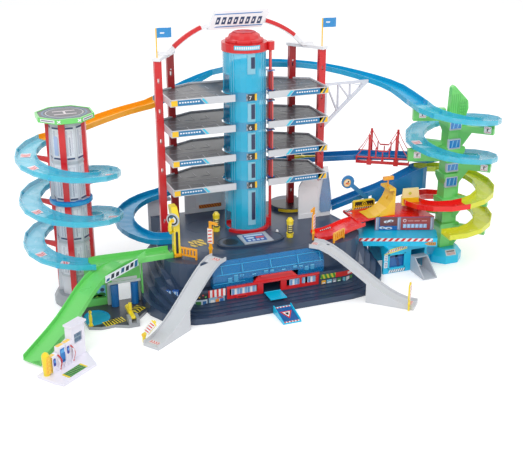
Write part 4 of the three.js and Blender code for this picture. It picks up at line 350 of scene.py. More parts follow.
class Build:
    """Collects closed solids into one mesh with several finishes.

    A finish may also be the name or the screen value of a paint: then the solid is a printed film. Box,
    slant, disc and shape push an outline out of the build's own place, from one height to another.
    """

    def __init__(self, place=None):
        self.place = place
        self.points = []
        self.faces = []
        self.finish = []
        self.plans = []
        self.count = 0

    def add(self, points, plan, faces, finish):
        """Keeps one solid: its corners, their flat measure and its faces by corner number."""
        if not isinstance(finish, bpy.types.Material):
            finish = printed(finish)
        self.points.append(points)
        self.plans.append(plan)
        self.faces += [tuple(np.asarray(face) + self.count) for face in faces]
        self.finish += [finish] * len(faces)
        self.count += len(points)

    def prism(self, place, outline, low, high, finish):
        """Outline pushed along its normal from one height to another, closed at both ends."""
        outline = np.asarray(outline, float)
        n = len(outline)
        x, y = outline.T
        if np.sum(x * np.roll(y, -1) - np.roll(x, -1) * y) <= 0:
            outline = outline[::-1]
        both = np.concatenate([np.c_[outline, np.full(n, low)], np.c_[outline, np.full(n, high)]])
        i = np.arange(n)
        j = (i + 1) % n
        self.add(place(both), both[:, :2], [i + n, i[::-1], *np.stack([i, j, j + n, i + n], 1)], finish)

    def shape(self, outline, low, high, finish):
        self.prism(self.place, outline, low, high, finish)

    def box(self, measures, low, high, finish):
        self.shape(rect(*measures), low, high, finish)

    def slant(self, measures, low, high, finish):
        self.shape(slanted(*measures), low, high, finish)

    def disc(self, measures, low, high, finish):
        self.shape(oval(*measures), low, high, finish)

    def wrap(self, place, left, low, right, high, thick, finish, columns=8):
        """A curved plate: columns of prisms side by side follow the cylinder."""
        n = columns + 1
        edges = np.linspace(left, right, n)
        base = np.array([[u, v, w] for w in (0.0, thick) for v in (low, high) for u in edges])
        i = np.arange(columns)
        top = 2 * n
        quads = [np.stack([i + top, i + 1 + top, i + 1 + n + top, i + n + top], 1),
                 np.stack([i + n, i + 1 + n, i + 1, i], 1),
                 np.stack([i, i + 1, i + 1 + top, i + top], 1),
                 np.stack([i + n + top, i + 1 + n + top, i + 1 + n, i + n], 1)]
        ends = [(0, top, top + n, n), (columns, columns + n, columns + top + n, columns + top)]
        self.add(place(base), base[:, :2], [*np.concatenate(quads), *ends], finish)

    def skin(self, rings, run, finish):
        """Joins rings of corners into a closed skin: run is the flat measure around one ring."""
        rows, sides = rings.shape[:2]
        i = np.arange(sides)
        j = (i + 1) % sides
        first = np.arange(rows - 1)[:, None] * sides
        quads = np.stack([i + first, j + first, j + first + sides, i + first + sides], 2).reshape(-1, 4)
        ends = [i[::-1], (rows - 1) * sides + i]
        self.add(rings.reshape(-1, 3), np.tile(np.c_[run, run * 0], (rows, 1)), [*quads, *ends], finish)

    def tube(self, path, radius, finish, sides=8):
        """Round rod along a path of points, with closed ends, its rings square to the path."""
        path = np.array(path, float)
        way = np.gradient(path, axis=0)
        way /= np.linalg.norm(way, axis=1)[:, None]
        helper = np.where(np.abs(way[:, 2:3]) > 0.9, [[1.0, 0, 0]], [[0, 0, 1.0]])
        side = np.cross(helper, way)
        side /= np.linalg.norm(side, axis=1)[:, None]
        over = np.cross(way, side)
        angles = np.arange(sides) / sides * TURN
        rings = (path[:, None] + radius * (np.cos(angles)[None, :, None] * side[:, None]
                                           + np.sin(angles)[None, :, None] * over[:, None]))
        self.skin(rings, angles * radius, finish)

    def lathe(self, x, y, profile, finish, sides=28):
        """Profile of radius and height turned about an upright axis."""
        profile = np.array(profile, float)
        angles = np.arange(sides) / sides * TURN
        rings = np.stack([x + profile[:, :1] * np.cos(angles), y + profile[:, :1] * np.sin(angles),
                          np.repeat(profile[:, 1:2], sides, 1)], 2)
        self.skin(rings, angles * 10, finish)

    def ribbon(self, rows, finish):
        """A strip of square section, from its two lines of points on one side and its two on the other."""
        low_a, high_a, low_b, high_b = rows
        n = len(low_a)
        i = np.arange(n - 1)
        sides = []
        for k in range(4):
            a, b = k * n, (k + 1) % 4 * n
            sides.append(np.stack([i + a, i + a + 1, i + b + 1, i + b], 1))
        ends = [np.arange(4) * n, np.arange(4, 0, -1) * n - 1]
        plan = np.tile(np.c_[np.arange(n), np.zeros(n)], (4, 1))
        points = np.concatenate([low_a, high_a, high_b, low_b])
        self.add(points, plan, [*np.concatenate(sides), *ends], finish)

    def piece(self, name, body=ROOT, bevel=0.0):
        """Turns what was collected into one object that rides on a body."""
        mesh = bpy.data.meshes.new(name)
        mesh.from_pydata((np.concatenate(self.points) * MM).tolist(), [], self.faces)
        finishes = list(dict.fromkeys(self.finish))
        for finish in finishes:
            mesh.materials.append(finish)
        mesh.polygons.foreach_set("material_index", [finishes.index(f) for f in self.finish])
        plans = np.concatenate(self.plans) * MM
        corners = np.empty(len(mesh.loops), np.int32)
        mesh.loops.foreach_get("vertex_index", corners)
        layer = mesh.uv_layers.new(name="plan")
        layer.data.foreach_set("uv", plans[corners].ravel())
        mesh.update()
        made = bpy.data.objects.new(name, mesh)
        bpy.context.scene.collection.objects.link(made)
        if bevel:
            soft = made.modifiers.new("soft_edges", "BEVEL")
            soft.width = bevel * MM
            soft.segments = 2
            soft.limit_method = "ANGLE"
        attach(made, body)


def coat(node, finish, *rules):
    """Gives a CAD node its finish, and other finishes to the faces that a rule picks by centre and normal."""
    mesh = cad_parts[node].data
    mesh.materials.clear()
    mesh.materials.append(finish)
    count = len(mesh.polygons)
    centre = np.empty(count * 3, np.float32)
    normal = np.empty(count * 3, np.float32)
    mesh.polygons.foreach_get("center", centre)
    mesh.polygons.foreach_get("normal", normal)
    x, y, z = centre.reshape(-1, 3).T / MM
    chosen = np.zeros(count, np.int32)
    for i, (other, rule) in enumerate(rules, 1):
        mesh.materials.append(other)
        chosen[rule(x, y, z, normal.reshape(-1, 3)[:, 2] > 0.9)] = i
    if rules:
        mesh.polygons.foreach_set("material_index", chosen)


def numeral(name, text, height, place, finish):
    """A plain number as a thin solid that stands upright and faces the front."""
    curve = bpy.data.curves.new(name, "FONT")
    curve.body = text
    curve.size = height * MM
    curve.extrude = 0.15 * MM
    curve.resolution_u = 3
    drawn = bpy.data.objects.new(name, curve)
    bpy.context.scene.collection.objects.link(drawn)
    bpy.context.view_layer.update()
    mesh = bpy.data.meshes.new_from_object(drawn.evaluated_get(bpy.context.evaluated_depsgraph_get()))
    bpy.data.objects.remove(drawn)
    made = bpy.data.objects.new(name, mesh)
    bpy.context.scene.collection.objects.link(made)
    mesh.transform(Matrix.Translation(np.array(place) * MM) @ Matrix.Rotation(math.pi / 2, 4, "X"))
    mesh.materials.clear()
    mesh.materials.append(finish)
    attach(made, ROOT)


def finishes():
    """The plastics that several nodes and pieces share, by name."""
    even = ("red", "blue", "turquoise", "yellow", "orange", "amber", "green")
    return {
        **{name: plastic(name, 0.3) for name in even},
        "navy": plastic("navy", 0.36), "dark_red": plastic("dark_red", 0.32),
        "coral": plastic("coral", 0.3, 0.9), "deep": plastic("deep_blue", 0.3),
        "sky": plastic("sky", 0.26, 0.66, 0.4),
        "tube": plastic("tube_blue", 0.18, 0.62, 0.5), "window": plastic("window_blue", 0.16, 0.5, 0.5),
        "bright_red": plastic((240, 30, 24), 0.26), "white": plastic("white", 0.34),
        "pale": plastic("pale_grey", 0.36), "grey": plastic("grey", 0.4), "asphalt": plastic("asphalt", 0.46),
        "charcoal": plastic("charcoal", 0.46), "lime": plastic("lime", 0.26, 0.94, 0.4),
        # The pale rib plastic paints highlights up the lift tube, and also rims its clear strips
        "band": plastic((70, 176, 220), 0.2, 0.62, 0.5), "rib": plastic((120, 205, 232), 0.2, 0.8, 0.5),
        # The dark slot plastic is painted shade in the opening of each slot
        "clear_strip": plastic((150, 214, 234), 0.2, 0.7, 0.5), "slot_shade": plastic((16, 34, 78), 0.3, 0.92),
        "flare": plastic((12, 100, 176), 0.24, 0.85, 0.4),
    }


# Settings

def colour(name, description):
    """A colour setting whose default is the paint of the same name."""
    start = tuple(value / 255 for value in PAINTS[name])
    return bpy.props.FloatVectorProperty(name=name.replace("_", " "), description=description, default=start,
                                         size=3, min=0, max=1, subtype="COLOR_GAMMA")


class GARAGE_PG_colours(bpy.types.PropertyGroup):
    """Colours of the plastics and prints, as screen values"""
    navy: colour("navy", "Base and podium")
    red: colour("red", "Pillars, lift frame and shop front")
    # The rear pillars' darker red is painted shade on the same red plastic as the front pillars
    dark_red: colour("dark_red", "Rear pillars")
    coral: colour("coral", "Lift frame's clear tabs")
    blue: colour("blue", "Rollers and rings")
    deep_blue: colour("deep_blue", "Jump ramp and its target")
    sky: colour("sky", "Clear spirals")
    tube_blue: colour("tube_blue", "Lift tube")
    window_blue: colour("window_blue", "Front and side windows")
    turquoise: colour("turquoise", "Blue building and exit flap")
    teal: colour("teal", "Teal prints")
    white: colour("white", "Walls and arch")
    pale_grey: colour("pale_grey", "Ramps and deck edges")
    grey: colour("grey", "Feet and plates")
    asphalt: colour("asphalt", "Deck tops")
    charcoal: colour("charcoal", "Landing pad")
    black: colour("black", "Dark prints")
    yellow: colour("yellow", "Gantry, bollards and levers")
    orange: colour("orange", "Chute, fences and upper barriers")
    amber: colour("amber", "Quarter pipe")
    green: colour("green", "Right tower, green track and pad rim")
    lime: colour("lime", "Clear lower spiral")


class GARAGE_PG_stage(bpy.types.PropertyGroup):
    """Floor, light, camera and gloss"""
    floor_half: bpy.props.FloatProperty(
        name="Floor half", description="Half the floor's side", default=14.0, unit="LENGTH")
    floor_lift: bpy.props.FloatProperty(
        name="Floor lift", description="How much the floor is whitened for the camera", default=0.3)
    sky_level: bpy.props.FloatProperty(
        name="Sky level", description="Light of the surroundings on the object", default=0.75)
    key_power: bpy.props.FloatProperty(
        name="Key power", description="Power of the main lamp", default=44.0, unit="POWER")
    lens: bpy.props.FloatProperty(
        name="Lens", description="Focal length in millimetres on a 36 mm frame", default=61.95)
    camera_place: bpy.props.FloatVectorProperty(
        name="Camera place", description="Where the camera stands", size=3,
        default=(-0.58456, -1.61436, 0.77119), subtype="TRANSLATION", unit="LENGTH")
    camera_drop: bpy.props.FloatProperty(
        name="Camera drop", description="Degrees the view falls below level", default=21.5)
    camera_turn: bpy.props.FloatProperty(
        name="Camera turn", description="Degrees the view turns to the right of +Y", default=21.0)
    matt_shift: bpy.props.FloatProperty(
        name="Matt shift", description="Added to the roughness of every plastic", default=0.0)


# Operators

def staged(name, data, place, turn):
    """A lamp or camera in the scene, turned by its angles about the three axes."""
    made = bpy.data.objects.new(name, data)
    bpy.context.scene.collection.objects.link(made)
    made.location = place
    made.rotation_euler = turn
    return made


class GARAGE_OT_stage(bpy.types.Operator):
    """White floor, soft lamps and the camera at the photograph's view"""
    bl_idname = "garage.stage"
    bl_label = "Stage"

    def execute(self, context):
        sizes = context.scene.garage_stage
        scene = context.scene
        scene.view_settings.view_transform = "Standard"
        floor = Finish("floor_white")
        floor.set(Base_Color=(0.86, 0.86, 0.87, 1), Roughness=0.9, Emission_Color=(1, 1, 1, 1),
                  Emission_Strength=background_ray(floor.tree) * sizes.floor_lift)
        half, sunk = sizes.floor_half, -0.4 * MM
        corners = [(-half, -half, sunk), (half, -half, sunk), (half, half, sunk), (-half, half, sunk)]
        mesh = bpy.data.meshes.new("floor")
        mesh.from_pydata(corners, [], [(0, 1, 2, 3)])
        mesh.materials.append(floor.material)
        plane = bpy.data.objects.new("floor", mesh)
        scene.collection.objects.link(plane)
        world = bpy.data.worlds.new("studio")
        world.use_nodes = True
        scene.world = world
        back = world.node_tree.nodes["Background"]
        level = background_ray(world.node_tree) * (1.0 - sizes.sky_level) + sizes.sky_level
        back.inputs["Color"].default_value = (1, 1, 1, 1)
        plug(world.node_tree, back.inputs["Strength"], level)
        for name, place, aim, size, share in (("key", (-1.5, -2.0, 2.6), (0, 0, 0.15), 1.8, 1),
                                              ("fill", (2.2, -1.6, 1.7), (0, 0, 0.2), 2.2, 0.38),
                                              ("back", (0.4, 2.4, 2.2), (0, 0, 0.3), 2.0, 0.35)):
            lamp = bpy.data.lights.new(name, "AREA")
            lamp.size = size
            lamp.energy = sizes.key_power * share
            way = np.array(aim) - np.array(place)
            tilt = math.acos(-way[2] / np.linalg.norm(way))
            staged(name, lamp, place, (tilt, 0, math.atan2(-way[0], way[1])))
        view = bpy.data.cameras.new("view")
        view.sensor_width = 36
        view.lens = sizes.lens
        turn = (math.radians(90 - sizes.camera_drop), 0, math.radians(-sizes.camera_turn))
        scene.camera = staged("view", view, sizes.camera_place, turn)
        return {"FINISHED"}


# Nodes that are one shared plastic all over
PLAIN_NODES = {
    "red": "shop_front lift_platform lift_knob pillar_front_left pillar_front_right bridge_frame",
    # The rear pillars take the darker red as painted shade: they are the same red moulding, standing in shade
    # at the back
    "dark_red": "pillar_back_left pillar_back_right",
    "navy": "base_moulding sound_panel",
    "window": "front_window",
    "turquoise": "door_flap exit_ramp garage_building",
    "pale": "left_ramp right_ramp",
    "orange": "barrier_top_left barrier_top_right fence_right orange_chute plunger",
    "yellow": "barrier_foot_left barrier_foot_right bollard_left bollard_right track_points crossing_lever",
    "white": "rear_wall",
    "tube": "lift_tube",
    "sky": "left_spiral upper_spiral",
    "green": "right_tower green_track",
    "deep": "jump_ramp jump_target",
    "amber": "quarter_pipe",
    "blue": "wash_roller_left wash_roller_right",
}
# Nodes with a plastic of their own: its screen value and roughness
OWN_NODES = {
    "sound_button": ((168, 174, 184), 0.36), "top_track": ((0, 164, 212), 0.28),
    "rear_loop_track": ((0, 146, 198), 0.3), "rear_leg": ((214, 217, 222), 0.34),
    "bridge_track": ((6, 118, 186), 0.3), "truss_bracket": ((222, 222, 232), 0.34),
    "tunnel_ramp": ((186, 192, 202), 0.36),
}


def reach_from(x, y, centre):
    """Distance in the plan from an axis."""
    return np.hypot(x - centre[0], y - centre[1])


def tower_ribs(x, y, z, level):
    """Bars at every quarter turn, further out than the octagon's sides, and the arms beyond them."""
    reach = reach_from(x, y, LEFT_TOWER)
    angle = np.degrees(np.arctan2(y - LEFT_TOWER[1], x - LEFT_TOWER[0])) + 111
    off = np.radians((angle + 45) % 90 - 45)
    rib = (reach * np.cos(off) > 31.2) & (abs(reach * np.sin(off)) < 6) & (z > 21)
    arm = (reach > 37.8) & (z > 25)
    return rib | arm


def tower_ring(x, y, z, level):
    """The ring around the tower, a little over half way up."""
    reach = reach_from(x, y, LEFT_TOWER)
    return (z > 205) & (z < 213) & (reach > 34.5) & (reach < 38)


def red_turn(x, y, z, level):
    """The lower spiral is red on one half of its upper turn."""
    angle = np.degrees(np.arctan2(y - RIGHT_TOWER[1], x - RIGHT_TOWER[0])) % 360
    return (angle > 60) & (angle < 262) & (z < 160) & (z > 95)


def flags(x, y, z, level):
    """The two cloths beside their poles."""
    beside = (x > 169.5) | ((x > -166.4) & (x < -130))
    return (z > 483.5) & (z < 504) & (abs(y - 12) < 6) & beside


def pond(x, y, z, level):
    """The water: an ellipse in the plate's floor."""
    return (((x + 337) / 27.5) ** 2 + ((y + 124) / 33.5) ** 2 < 1) & (z < 7) & (z > 2)


def pylon(x, y, z, level):
    """The filling station's post, in its own turned measures."""
    along, out = 0.8 * x + 0.6 * y, 0.6 * x - 0.8 * y
    return (along < -531.3) & (z > 5.2) & (out < -28) & (out > -42)


class GARAGE_OT_finishes(bpy.types.Operator):
    """Gives every CAD node its plastic, with a second colour where the mould or the print changes"""
    bl_idname = "garage.finishes"
    bl_label = "Plastics"

    def execute(self, context):
        f = finishes()
        for finish, nodes in PLAIN_NODES.items():
            for node in nodes.split():
                coat(node, f[finish])
        for node, (tint, rough) in OWN_NODES.items():
            coat(node, plastic(tint, rough))
        coat("side_wall", f["white"], (f["window"], lambda x, y, z, level: (y < -10.05) & (x > 158)))
        coat("gantry", f["yellow"], (f["orange"], lambda x, y, z, level: (y < -112.5) & (z < 117)))
        coat("lift_frame", f["red"],
             (f["coral"], lambda x, y, z, level: (z > 190) & (z < 445) & (abs(x - 46) < 1.3)))
        for top, digit in DECKS:
            road = (f["asphalt"], lambda x, y, z, level, top=top: level & (z < top + 1))
            coat(f"deck_{digit}", f["pale"], road)
        coat("arch_sign", f["white"],
             (f["amber"], lambda x, y, z, level: (reach_from(abs(x), y, (168, 12)) < 2.2) & (z > 448.5)),
             (plastic((40, 140, 206), 0.34), flags))
        coat("left_tower", plastic((206, 209, 216), 0.36),
             (f["red"], tower_ribs),
             (f["blue"], tower_ring),
             (f["grey"], lambda x, y, z, level: z < 22.05))
        coat("landing_pad", f["green"], (f["charcoal"], lambda x, y, z, level: level & (z < 368.8)))
        coat("lower_spiral", f["lime"], (f["bright_red"], red_turn))
        coat("fire_station", f["bright_red"],
             (f["yellow"], lambda x, y, z, level: (z > 114) & (x > 226) & (x < 278) & (y > -36.5)))
        coat("pond_plate", f["grey"],
             (f["charcoal"], lambda x, y, z, level: level & (z < 7)),
             (plastic((204, 212, 216), 0.34), lambda x, y, z, level: (z > 7.5) & (y > -96)),
             (f["yellow"], lambda x, y, z, level: (z > 6.2) & (reach_from(x, y, (-353, -151)) < 12)),
             (plastic((34, 170, 214), 0.24), pond))
        coat("filling_station", plastic((236, 234, 246), 0.32), (f["yellow"], pylon))
        return {"FINISHED"}


class GARAGE_OT_lift_details(bpy.types.Operator):
    """Bands, pale ribs that carry painted highlights, the clear strip and the numbered plates on the lift's
    tube, its flares, collar and knob
    """
    bl_idname = "garage.lift_details"
    bl_label = "Lift details"

    def execute(self, context):
        f = finishes()
        deep = rolled(0, 0, TUBE_SKIN, -90)
        half_band = math.radians(61) * 42
        around = Build()
        for top in LEVELS:
            for low, high, thick in ((-13, 4.5, 0.5), (-2.6, -0.6, 0.9), (2.4, 4.2, 0.9)):
                for side in (deep, rolled(0, 0, TUBE_SKIN, 90)):
                    around.wrap(side, -half_band, top + low, half_band, top + high, thick, f["band"], 20)
        around.piece("tube_bands")
        ribs = Build()
        # Thin pale ribs up the tube: partly the tube's real flanges, partly painted highlights where the
        # clear plastic catches the light
        for middle in (-146, -139, -60, -52, -38, 38, 140):
            ribs.wrap(rolled(0, 0, TUBE_SKIN, middle), -0.6, 96, 0.6, 466, 0.7, f["rib"], 2)
        ribs.piece("tube_ribs")
        strip = Build()
        for low, high, slot_low, slot_high in STRIPS:
            strip.wrap(deep, -9, low, 6.5, high, 0.6, f["clear_strip"], 6)
            # The slot's opening is a dark navy plate: painted shade
            strip.wrap(deep, -2, slot_low, 5.5, slot_high, 1.0, f["slot_shade"], 4)
            strip.wrap(deep, -9.4, low - 0.8, 6.9, low, 1.2, f["rib"], 6)
            strip.wrap(deep, -9.4, high, 6.9, high + 0.8, 1.2, f["rib"], 6)
        strip.piece("tube_strip")
        plates = Build()
        for top in LEVELS:
            low, high = top - 11, top + 1.6
            for left, right, tint, columns in ((-11.6, -8.4, "grey", 3), (-8.4, 5.0, "black", 6),
                                               (5.0, 9.4, "amber", 3)):
                plates.wrap(deep, left, low, right, high, 1.3, tint, columns)
            plates.wrap(deep, -10.8, low + 4.5, -9.2, low + 9, 1.4, "black", 2)
        plates.piece("level_plates")
        for top, digit in DECKS:
            numeral(f"level_number_{digit}", digit, 11.5, (-7.2, -43.9, top - 9.2), printed("white"))
        ring = Build()
        collar = rolled(0, 0, 44.4, -108)
        ring.wrap(collar, -21, 460.5, 30, 468.5, 0.8, "sky", 10)
        marks = striped("collar_marks", "sky", "white", 0.004, 0.0, 0.3)
        ring.wrap(collar, -19.5, 462, 28.5, 467, 1.1, marks, 10)
        ring.piece("collar_strip")
        flares = Build(ground(0))
        wing = [[36, -30], [54, -26], [54, -14], [40, -10]]
        cheek = flat((0, 0, 0), (0, 1, 0), (0, 0, 1))
        for top in LEVELS:
            flares.shape(wing, top + 39.4, top + 40.8, f["flare"])
            flares.shape(wing, top + 1.2, top + 2.8, f["flare"])
            flares.prism(cheek, rect(-27, top - 8, -14, top + 1.4), 50, 52, f["flare"])
        flares.piece("gate_flares")
        cap = Build()
        foot = 487.55
        profile = [[0.01, foot], [21, foot], [21.6, 488.4], [20.4, 489], [15.6, 489], [14.6, 488.2],
                   [0.01, 488.2]]
        cap.lathe(0, 0, profile, f["red"], 30)
        cap.piece("knob_cap", "lift_knob_body")
        grips = Build()
        for i in range(8):
            angle = i / 8 * TURN + TURN / 16
            out = np.array([math.cos(angle), math.sin(angle), 0])
            place = flat(out * 14.6 + np.array((0, 0, foot)), out, (-out[1], out[0], 0))
            grips.prism(place, rect(0, -2.4, 7.6, 2.4, 1.2), 0, 0.9, f["dark_red"])
        grips.piece("knob_grips", "lift_knob_body")
        return {"FINISHED"}


class GARAGE_OT_deck_details(bpy.types.Operator):
    """Bay lines on the parking decks, the strips along their front edges and the dots on the rear pillars"""
    bl_idname = "garage.deck_details"
    bl_label = "Deck details"

    def execute(self, context):
        line = plastic((150, 150, 156), 0.4)
        for top, digit in DECKS:
            bays = Build(ground(top))
            for side in (-1, 1):
                for x in (62, 92, 122):
                    low, high = sorted((side * x - 0.7, side * x + 0.7))
                    bays.box((low, 34, high, 58 if x < 120 else 50, 0.5), 0, 0.5, line)
                    bays.box((low, -34, high, -12, 0.5), 0, 0.5, line)
                for x in (64, 94, 124):
                    low, high = sorted((side * x, side * (x + 18)))
                    bays.box((low, 33, high, 34.4, 0.5), 0, 0.5, line)
                    bays.box((low, -12, high, -10.6, 0.5), 0, 0.5, line)
                low, high = sorted((side * 55, side * 150))
                bays.box((low, 10.4, high, 11.8, 0.5), 0, 0.35, line)
            bays.piece(f"bay_lines_{digit}")
            edge = Build(front(DECK_FACE, 0, top))
            low, high = -8.6, 1.6
            for left, right, lean, tint in ((78, 141, 9, DECK_INK), (70, 76, 9, "sky"),
                                            (141, 158.5, 0, "amber")):
                edge.slant((left, low, right, high, lean), 0, 0.35, tint)
            edge.slant((146, low, 150, high, 6), 0.3, 0.5, "teal")
            for i in range(9):
                edge.box((91 + i * 5.2, -4.2, 94.4 + i * 5.2, -1.6, 0.5), 0.3, 0.5, "white")
            edge.slant((-152, low, -94, high, -9), 0, 0.35, DECK_INK)
            edge.slant((-92, low, -87, high, -9), 0, 0.35, "sky")
            edge.box((-159, low, -147, high, 0.6), 0.2, 0.5, "amber")
            for i in range(8):
                edge.box((-144 + i * 5.2, -4.2, -140.6 + i * 5.2, -1.6, 0.5), 0.3, 0.5, "white")
            edge.piece(f"edge_print_{digit}")
        caps = Build()
        white = plastic("white", 0.34)
        for x in (-128, 128):
            for z in LEVELS:
                caps.prism(front(64.9, x, z + 29), oval(0, 8.5, 1.5, 1.5, 10), 0, 0.3, white)
        caps.piece("pillar_dots")
        return {"FINISHED"}


class GARAGE_OT_arch_details(bpy.types.Operator):
    """Red inlays of the arch, the plain coloured flashes on its sign and the marks on its two flags"""
    bl_idname = "garage.arch_details"
    bl_label = "Arch details"

    def execute(self, context):
        half, rise, foot = 146, 64, 448.3
        # A circle through the arch's two feet and its crown
        radius = (half ** 2 + rise ** 2) / (2 * rise)
        centre = foot + rise - radius
        end = math.degrees(math.asin(half / radius))
        red = plastic("red", 0.3)
        inlay = Build()
        place = front(34.5, 0, centre)
        back = flat((0, 41.5, centre), (-1, 0, 0), (0, 0, 1))
        for side, near, far in ((-1, 0.47, 0.87), (1, 0.36, 0.79)):
            angles = np.radians(90 - side * np.linspace(end * near, end * far, 12))
            round_way = np.stack([np.cos(angles), np.sin(angles)], 1)
            ring = np.concatenate([round_way * (radius + 0.4), round_way[::-1] * (radius - 6.6)])
            inlay.prism(place, ring, 0.05, 0.7, red)
            inlay.prism(back, ring * (-1, 1), 0.05, 0.7, red)
            rows = []
            for y in (35.6, 40.4):
                for reach in (radius + 0.05, radius + 0.9):
                    x, z = (round_way * reach).T
                    rows.append(np.stack([x, np.full_like(angles, y), z + centre], 1))
            inlay.ribbon(rows, red)
        inlay.piece("arch_inlays")
        sign = Build(front(30))
        # Foot of the sign, below its hanging rods
        low = foot + rise - 23
        for k in range(8):
            left, drop = -48 + 12 * k, 0.3 * k
            sign.slant((left, low + 10 - drop, left + 7.4, low + 23 - drop, 5), 0, 0.5, (24, 52, 96))
            sign.slant((left + 3.4, low + 14 - drop, left + 5.6, low + 18.6 - drop, 2), 0.4, 0.65, "white")
        for lift in (4.2, 27.6):
            sign.slant((-50, low + lift, 46, low + lift + 1.6, 4), 0, 0.4, (34, 120, 190))
        sign.piece("sign_flashes")
        marks = Build()
        for x, z in ((-156.6, 492.8), (179.6, 494.1)):
            cloth = flat((x, 11.75, z), (0.987, -0.16, 0), (0, 0, 1))
            marks.prism(cloth, slanted(-4.2, -1.3, 3.8, 1.3, 0.6), 0, 0.4, (232, 238, 244))
        marks.piece("flag_marks")
        return {"FINISHED"}


class GARAGE_OT_podium_details(bpy.types.Operator):
    """Loudspeaker, button, hazard plate, ledge, beads, peg; prints of bollards, rear board and gantry"""
    bl_idname = "garage.podium_details"
    bl_label = "Podium details"

    def execute(self, context):
        f = finishes()
        shade = plastic((18, 22, 32), 0.42)
        grille = Build(ground(PANEL_TOP))
        grille.disc((-61, -82, 15.5, 15.5, 32), 0, 0.3, shade)
        for i in range(-3, 4):
            for j in range(-3, 4):
                x, y = i * 3.9 + (j % 2) * 1.95 - 1, j * 3.4
                if math.hypot(x, y) < 13:
                    grille.disc((-61 + x, -82 + y, 1.25, 1.25, 10), 0.25, 0.5, plastic("black", 0.6))
        grille.piece("speaker_grille")
        rim = Build()
        angles = np.linspace(0, TURN, 73)
        # A power below one squares the ellipse
        across, along = (np.sign(v) * np.abs(v) ** 0.75 for v in (np.cos(angles), np.sin(angles)))
        path = np.stack([-20 + 65.5 * across, -82 + 27.5 * along, np.full(73, PANEL_TOP - 0.1)], 1)
        rim.tube(path, 0.75, shade, 6)
        rim.piece("panel_rim")
        face = Build(ground(BUTTON_TOP))
        face.shape([[-37, -58], [19, -58], [19, -104], [-37, -104]], 0, 0.25, plastic((182, 188, 196), 0.4))
        face.shape([[-30, -62], [12, -63], [9.6, -99], [-32.5, -97]], 0.2, 0.5, (28, 84, 168))
        face.shape([[-27.5, -65], [10, -66], [9.4, -73], [-28.4, -72]], 0.45, 0.65, PALE_INK)
        face.shape([[-27.5, -76], [-12, -76.4], [-12, -84], [-27.8, -84]], 0.45, 0.65, PALE_INK)
        face.shape([[-8, -76.4], [9, -77], [8.6, -85], [-8, -84.4]], 0.45, 0.65, (228, 90, 90))
        for i in range(4):
            face.box((-28 + i * 9, -95, -22 + i * 9, -88, 1.4), 0.45, 0.65, PALE_INK)
        face.piece("button_face", "sound_button_body")
        plate = Build(ground(PODIUM_TOP))
        hazard = striped("hazard_plate", "black", (246, 206, 30), 0.013, 0.8, 0.36)
        plate.shape([[-136, -44], [-107, -40], [-105.5, -70], [-136, -74.5]], 0, 0.4, hazard)
        plate.shape([[-128, -50], [-120, -49], [-119, -64], [-127, -65]], 0.35, 0.55, "black")
        plate.shape([[-126, -52], [-122, -51.5], [-121.5, -62], [-125.5, -62.5]], 0.5, 0.7, (232, 196, 52))
        plate.piece("hazard_plate")
        ledge = Build(ground(104))
        kept = [p for p in oval(*PILLAR_DISC, 43.4, 43.4, 48) if p[1] < 95 and p[0] < 166]
        ledge.shape(kept, 0, 0.4, plastic((30, 31, 36), 0.4))
        edge = rolled(*PILLAR_DISC, 44, -112)
        ledge.wrap(edge, -26, 96.5, 38, 102.8, 0.5, plastic((236, 200, 30), 0.35), 18)
        ledge.piece("ledge_print")
        ring = Build()
        level = np.full(73, PODIUM_TOP - 0.3)
        swirl = np.stack([-78 + 40 * np.cos(angles), 24 + 36 * np.sin(angles), level], 1)
        ring.tube(swirl[20:62], 0.8, f["navy"], 6)
        corners = ((-128, -100), (-100, -128), (-60, -140), (60, -140), (104, -126), (136, -92))
        ring.tube([(x, y, 94.8) for x, y in corners], 0.7, f["navy"], 6)
        ring.piece("podium_beads")
        peg = Build()
        peg.lathe(46.6, -57.6, [[0.01, 95], [3.0, 95], [2.6, 97.6], [1.8, 99.6], [0.01, 100]], f["white"], 14)
        peg.piece("podium_peg")
        posts = Build()
        for x, y in ((-66, -10), (60, -92)):
            side = rolled(x, y, 5.9, -104)
            posts.wrap(side, -5.0, 105, 5.0, 125, 0.7, plastic((54, 52, 38), 0.4), 5)
            for z in (108, 112.4, 116.8, 121):
                posts.wrap(side, -3.4, z, 3.4, z + 2.2, 1.0, (232, 222, 150), 4)
            posts.lathe(x, y, [[7.05, 102.4], [7.7, 103], [7.7, 104], [7.05, 104.6]], f["yellow"], 20)
            posts.lathe(x, y, [[6.9, 129], [7.5, 129.5], [7.5, 130.4], [6.9, 131]], f["yellow"], 20)
        posts.piece("bollard_prints")
        board = Build(front(101))
        board.box((-68, 104.5, -18, 112.4, 1), 0, 0.4,
                  striped("rear_board", (244, 150, 44), (176, 74, 34), 0.0058, 0.7, 0.5))
        board.piece("rear_board_print")
        head = Build(flat((-182.5, -111.5, 0), (0.7, -0.7, 0), (0, 0, 1)))
        for measures, low, high, tint in (((0, 172, 13, 12.5, 30), -0.6, 1.2, plastic((196, 202, 206), 0.3)),
                                          ((0, 172, 10.4, 9.8, 28), 1.15, 1.5, plastic((40, 46, 54), 0.4)),
                                          ((0, 172, 7.2, 6.8, 24), 1.4, 1.8, (226, 232, 236)),
                                          ((0, 171, 4.2, 4.0, 20), 1.7, 2.1, "amber")):
            head.disc(measures, low, high, tint)
        head.shape([[-6, 176], [-1, 181], [2, 177], [-3, 174]], 1.7, 2.1, "teal")
        head.prism(front(-111, -176), rect(-2.4, 102, 2.4, 146, 2.2), 0, 0.35, plastic("black", 0.5))
        head.piece("gantry_print")
        return {"FINISHED"}


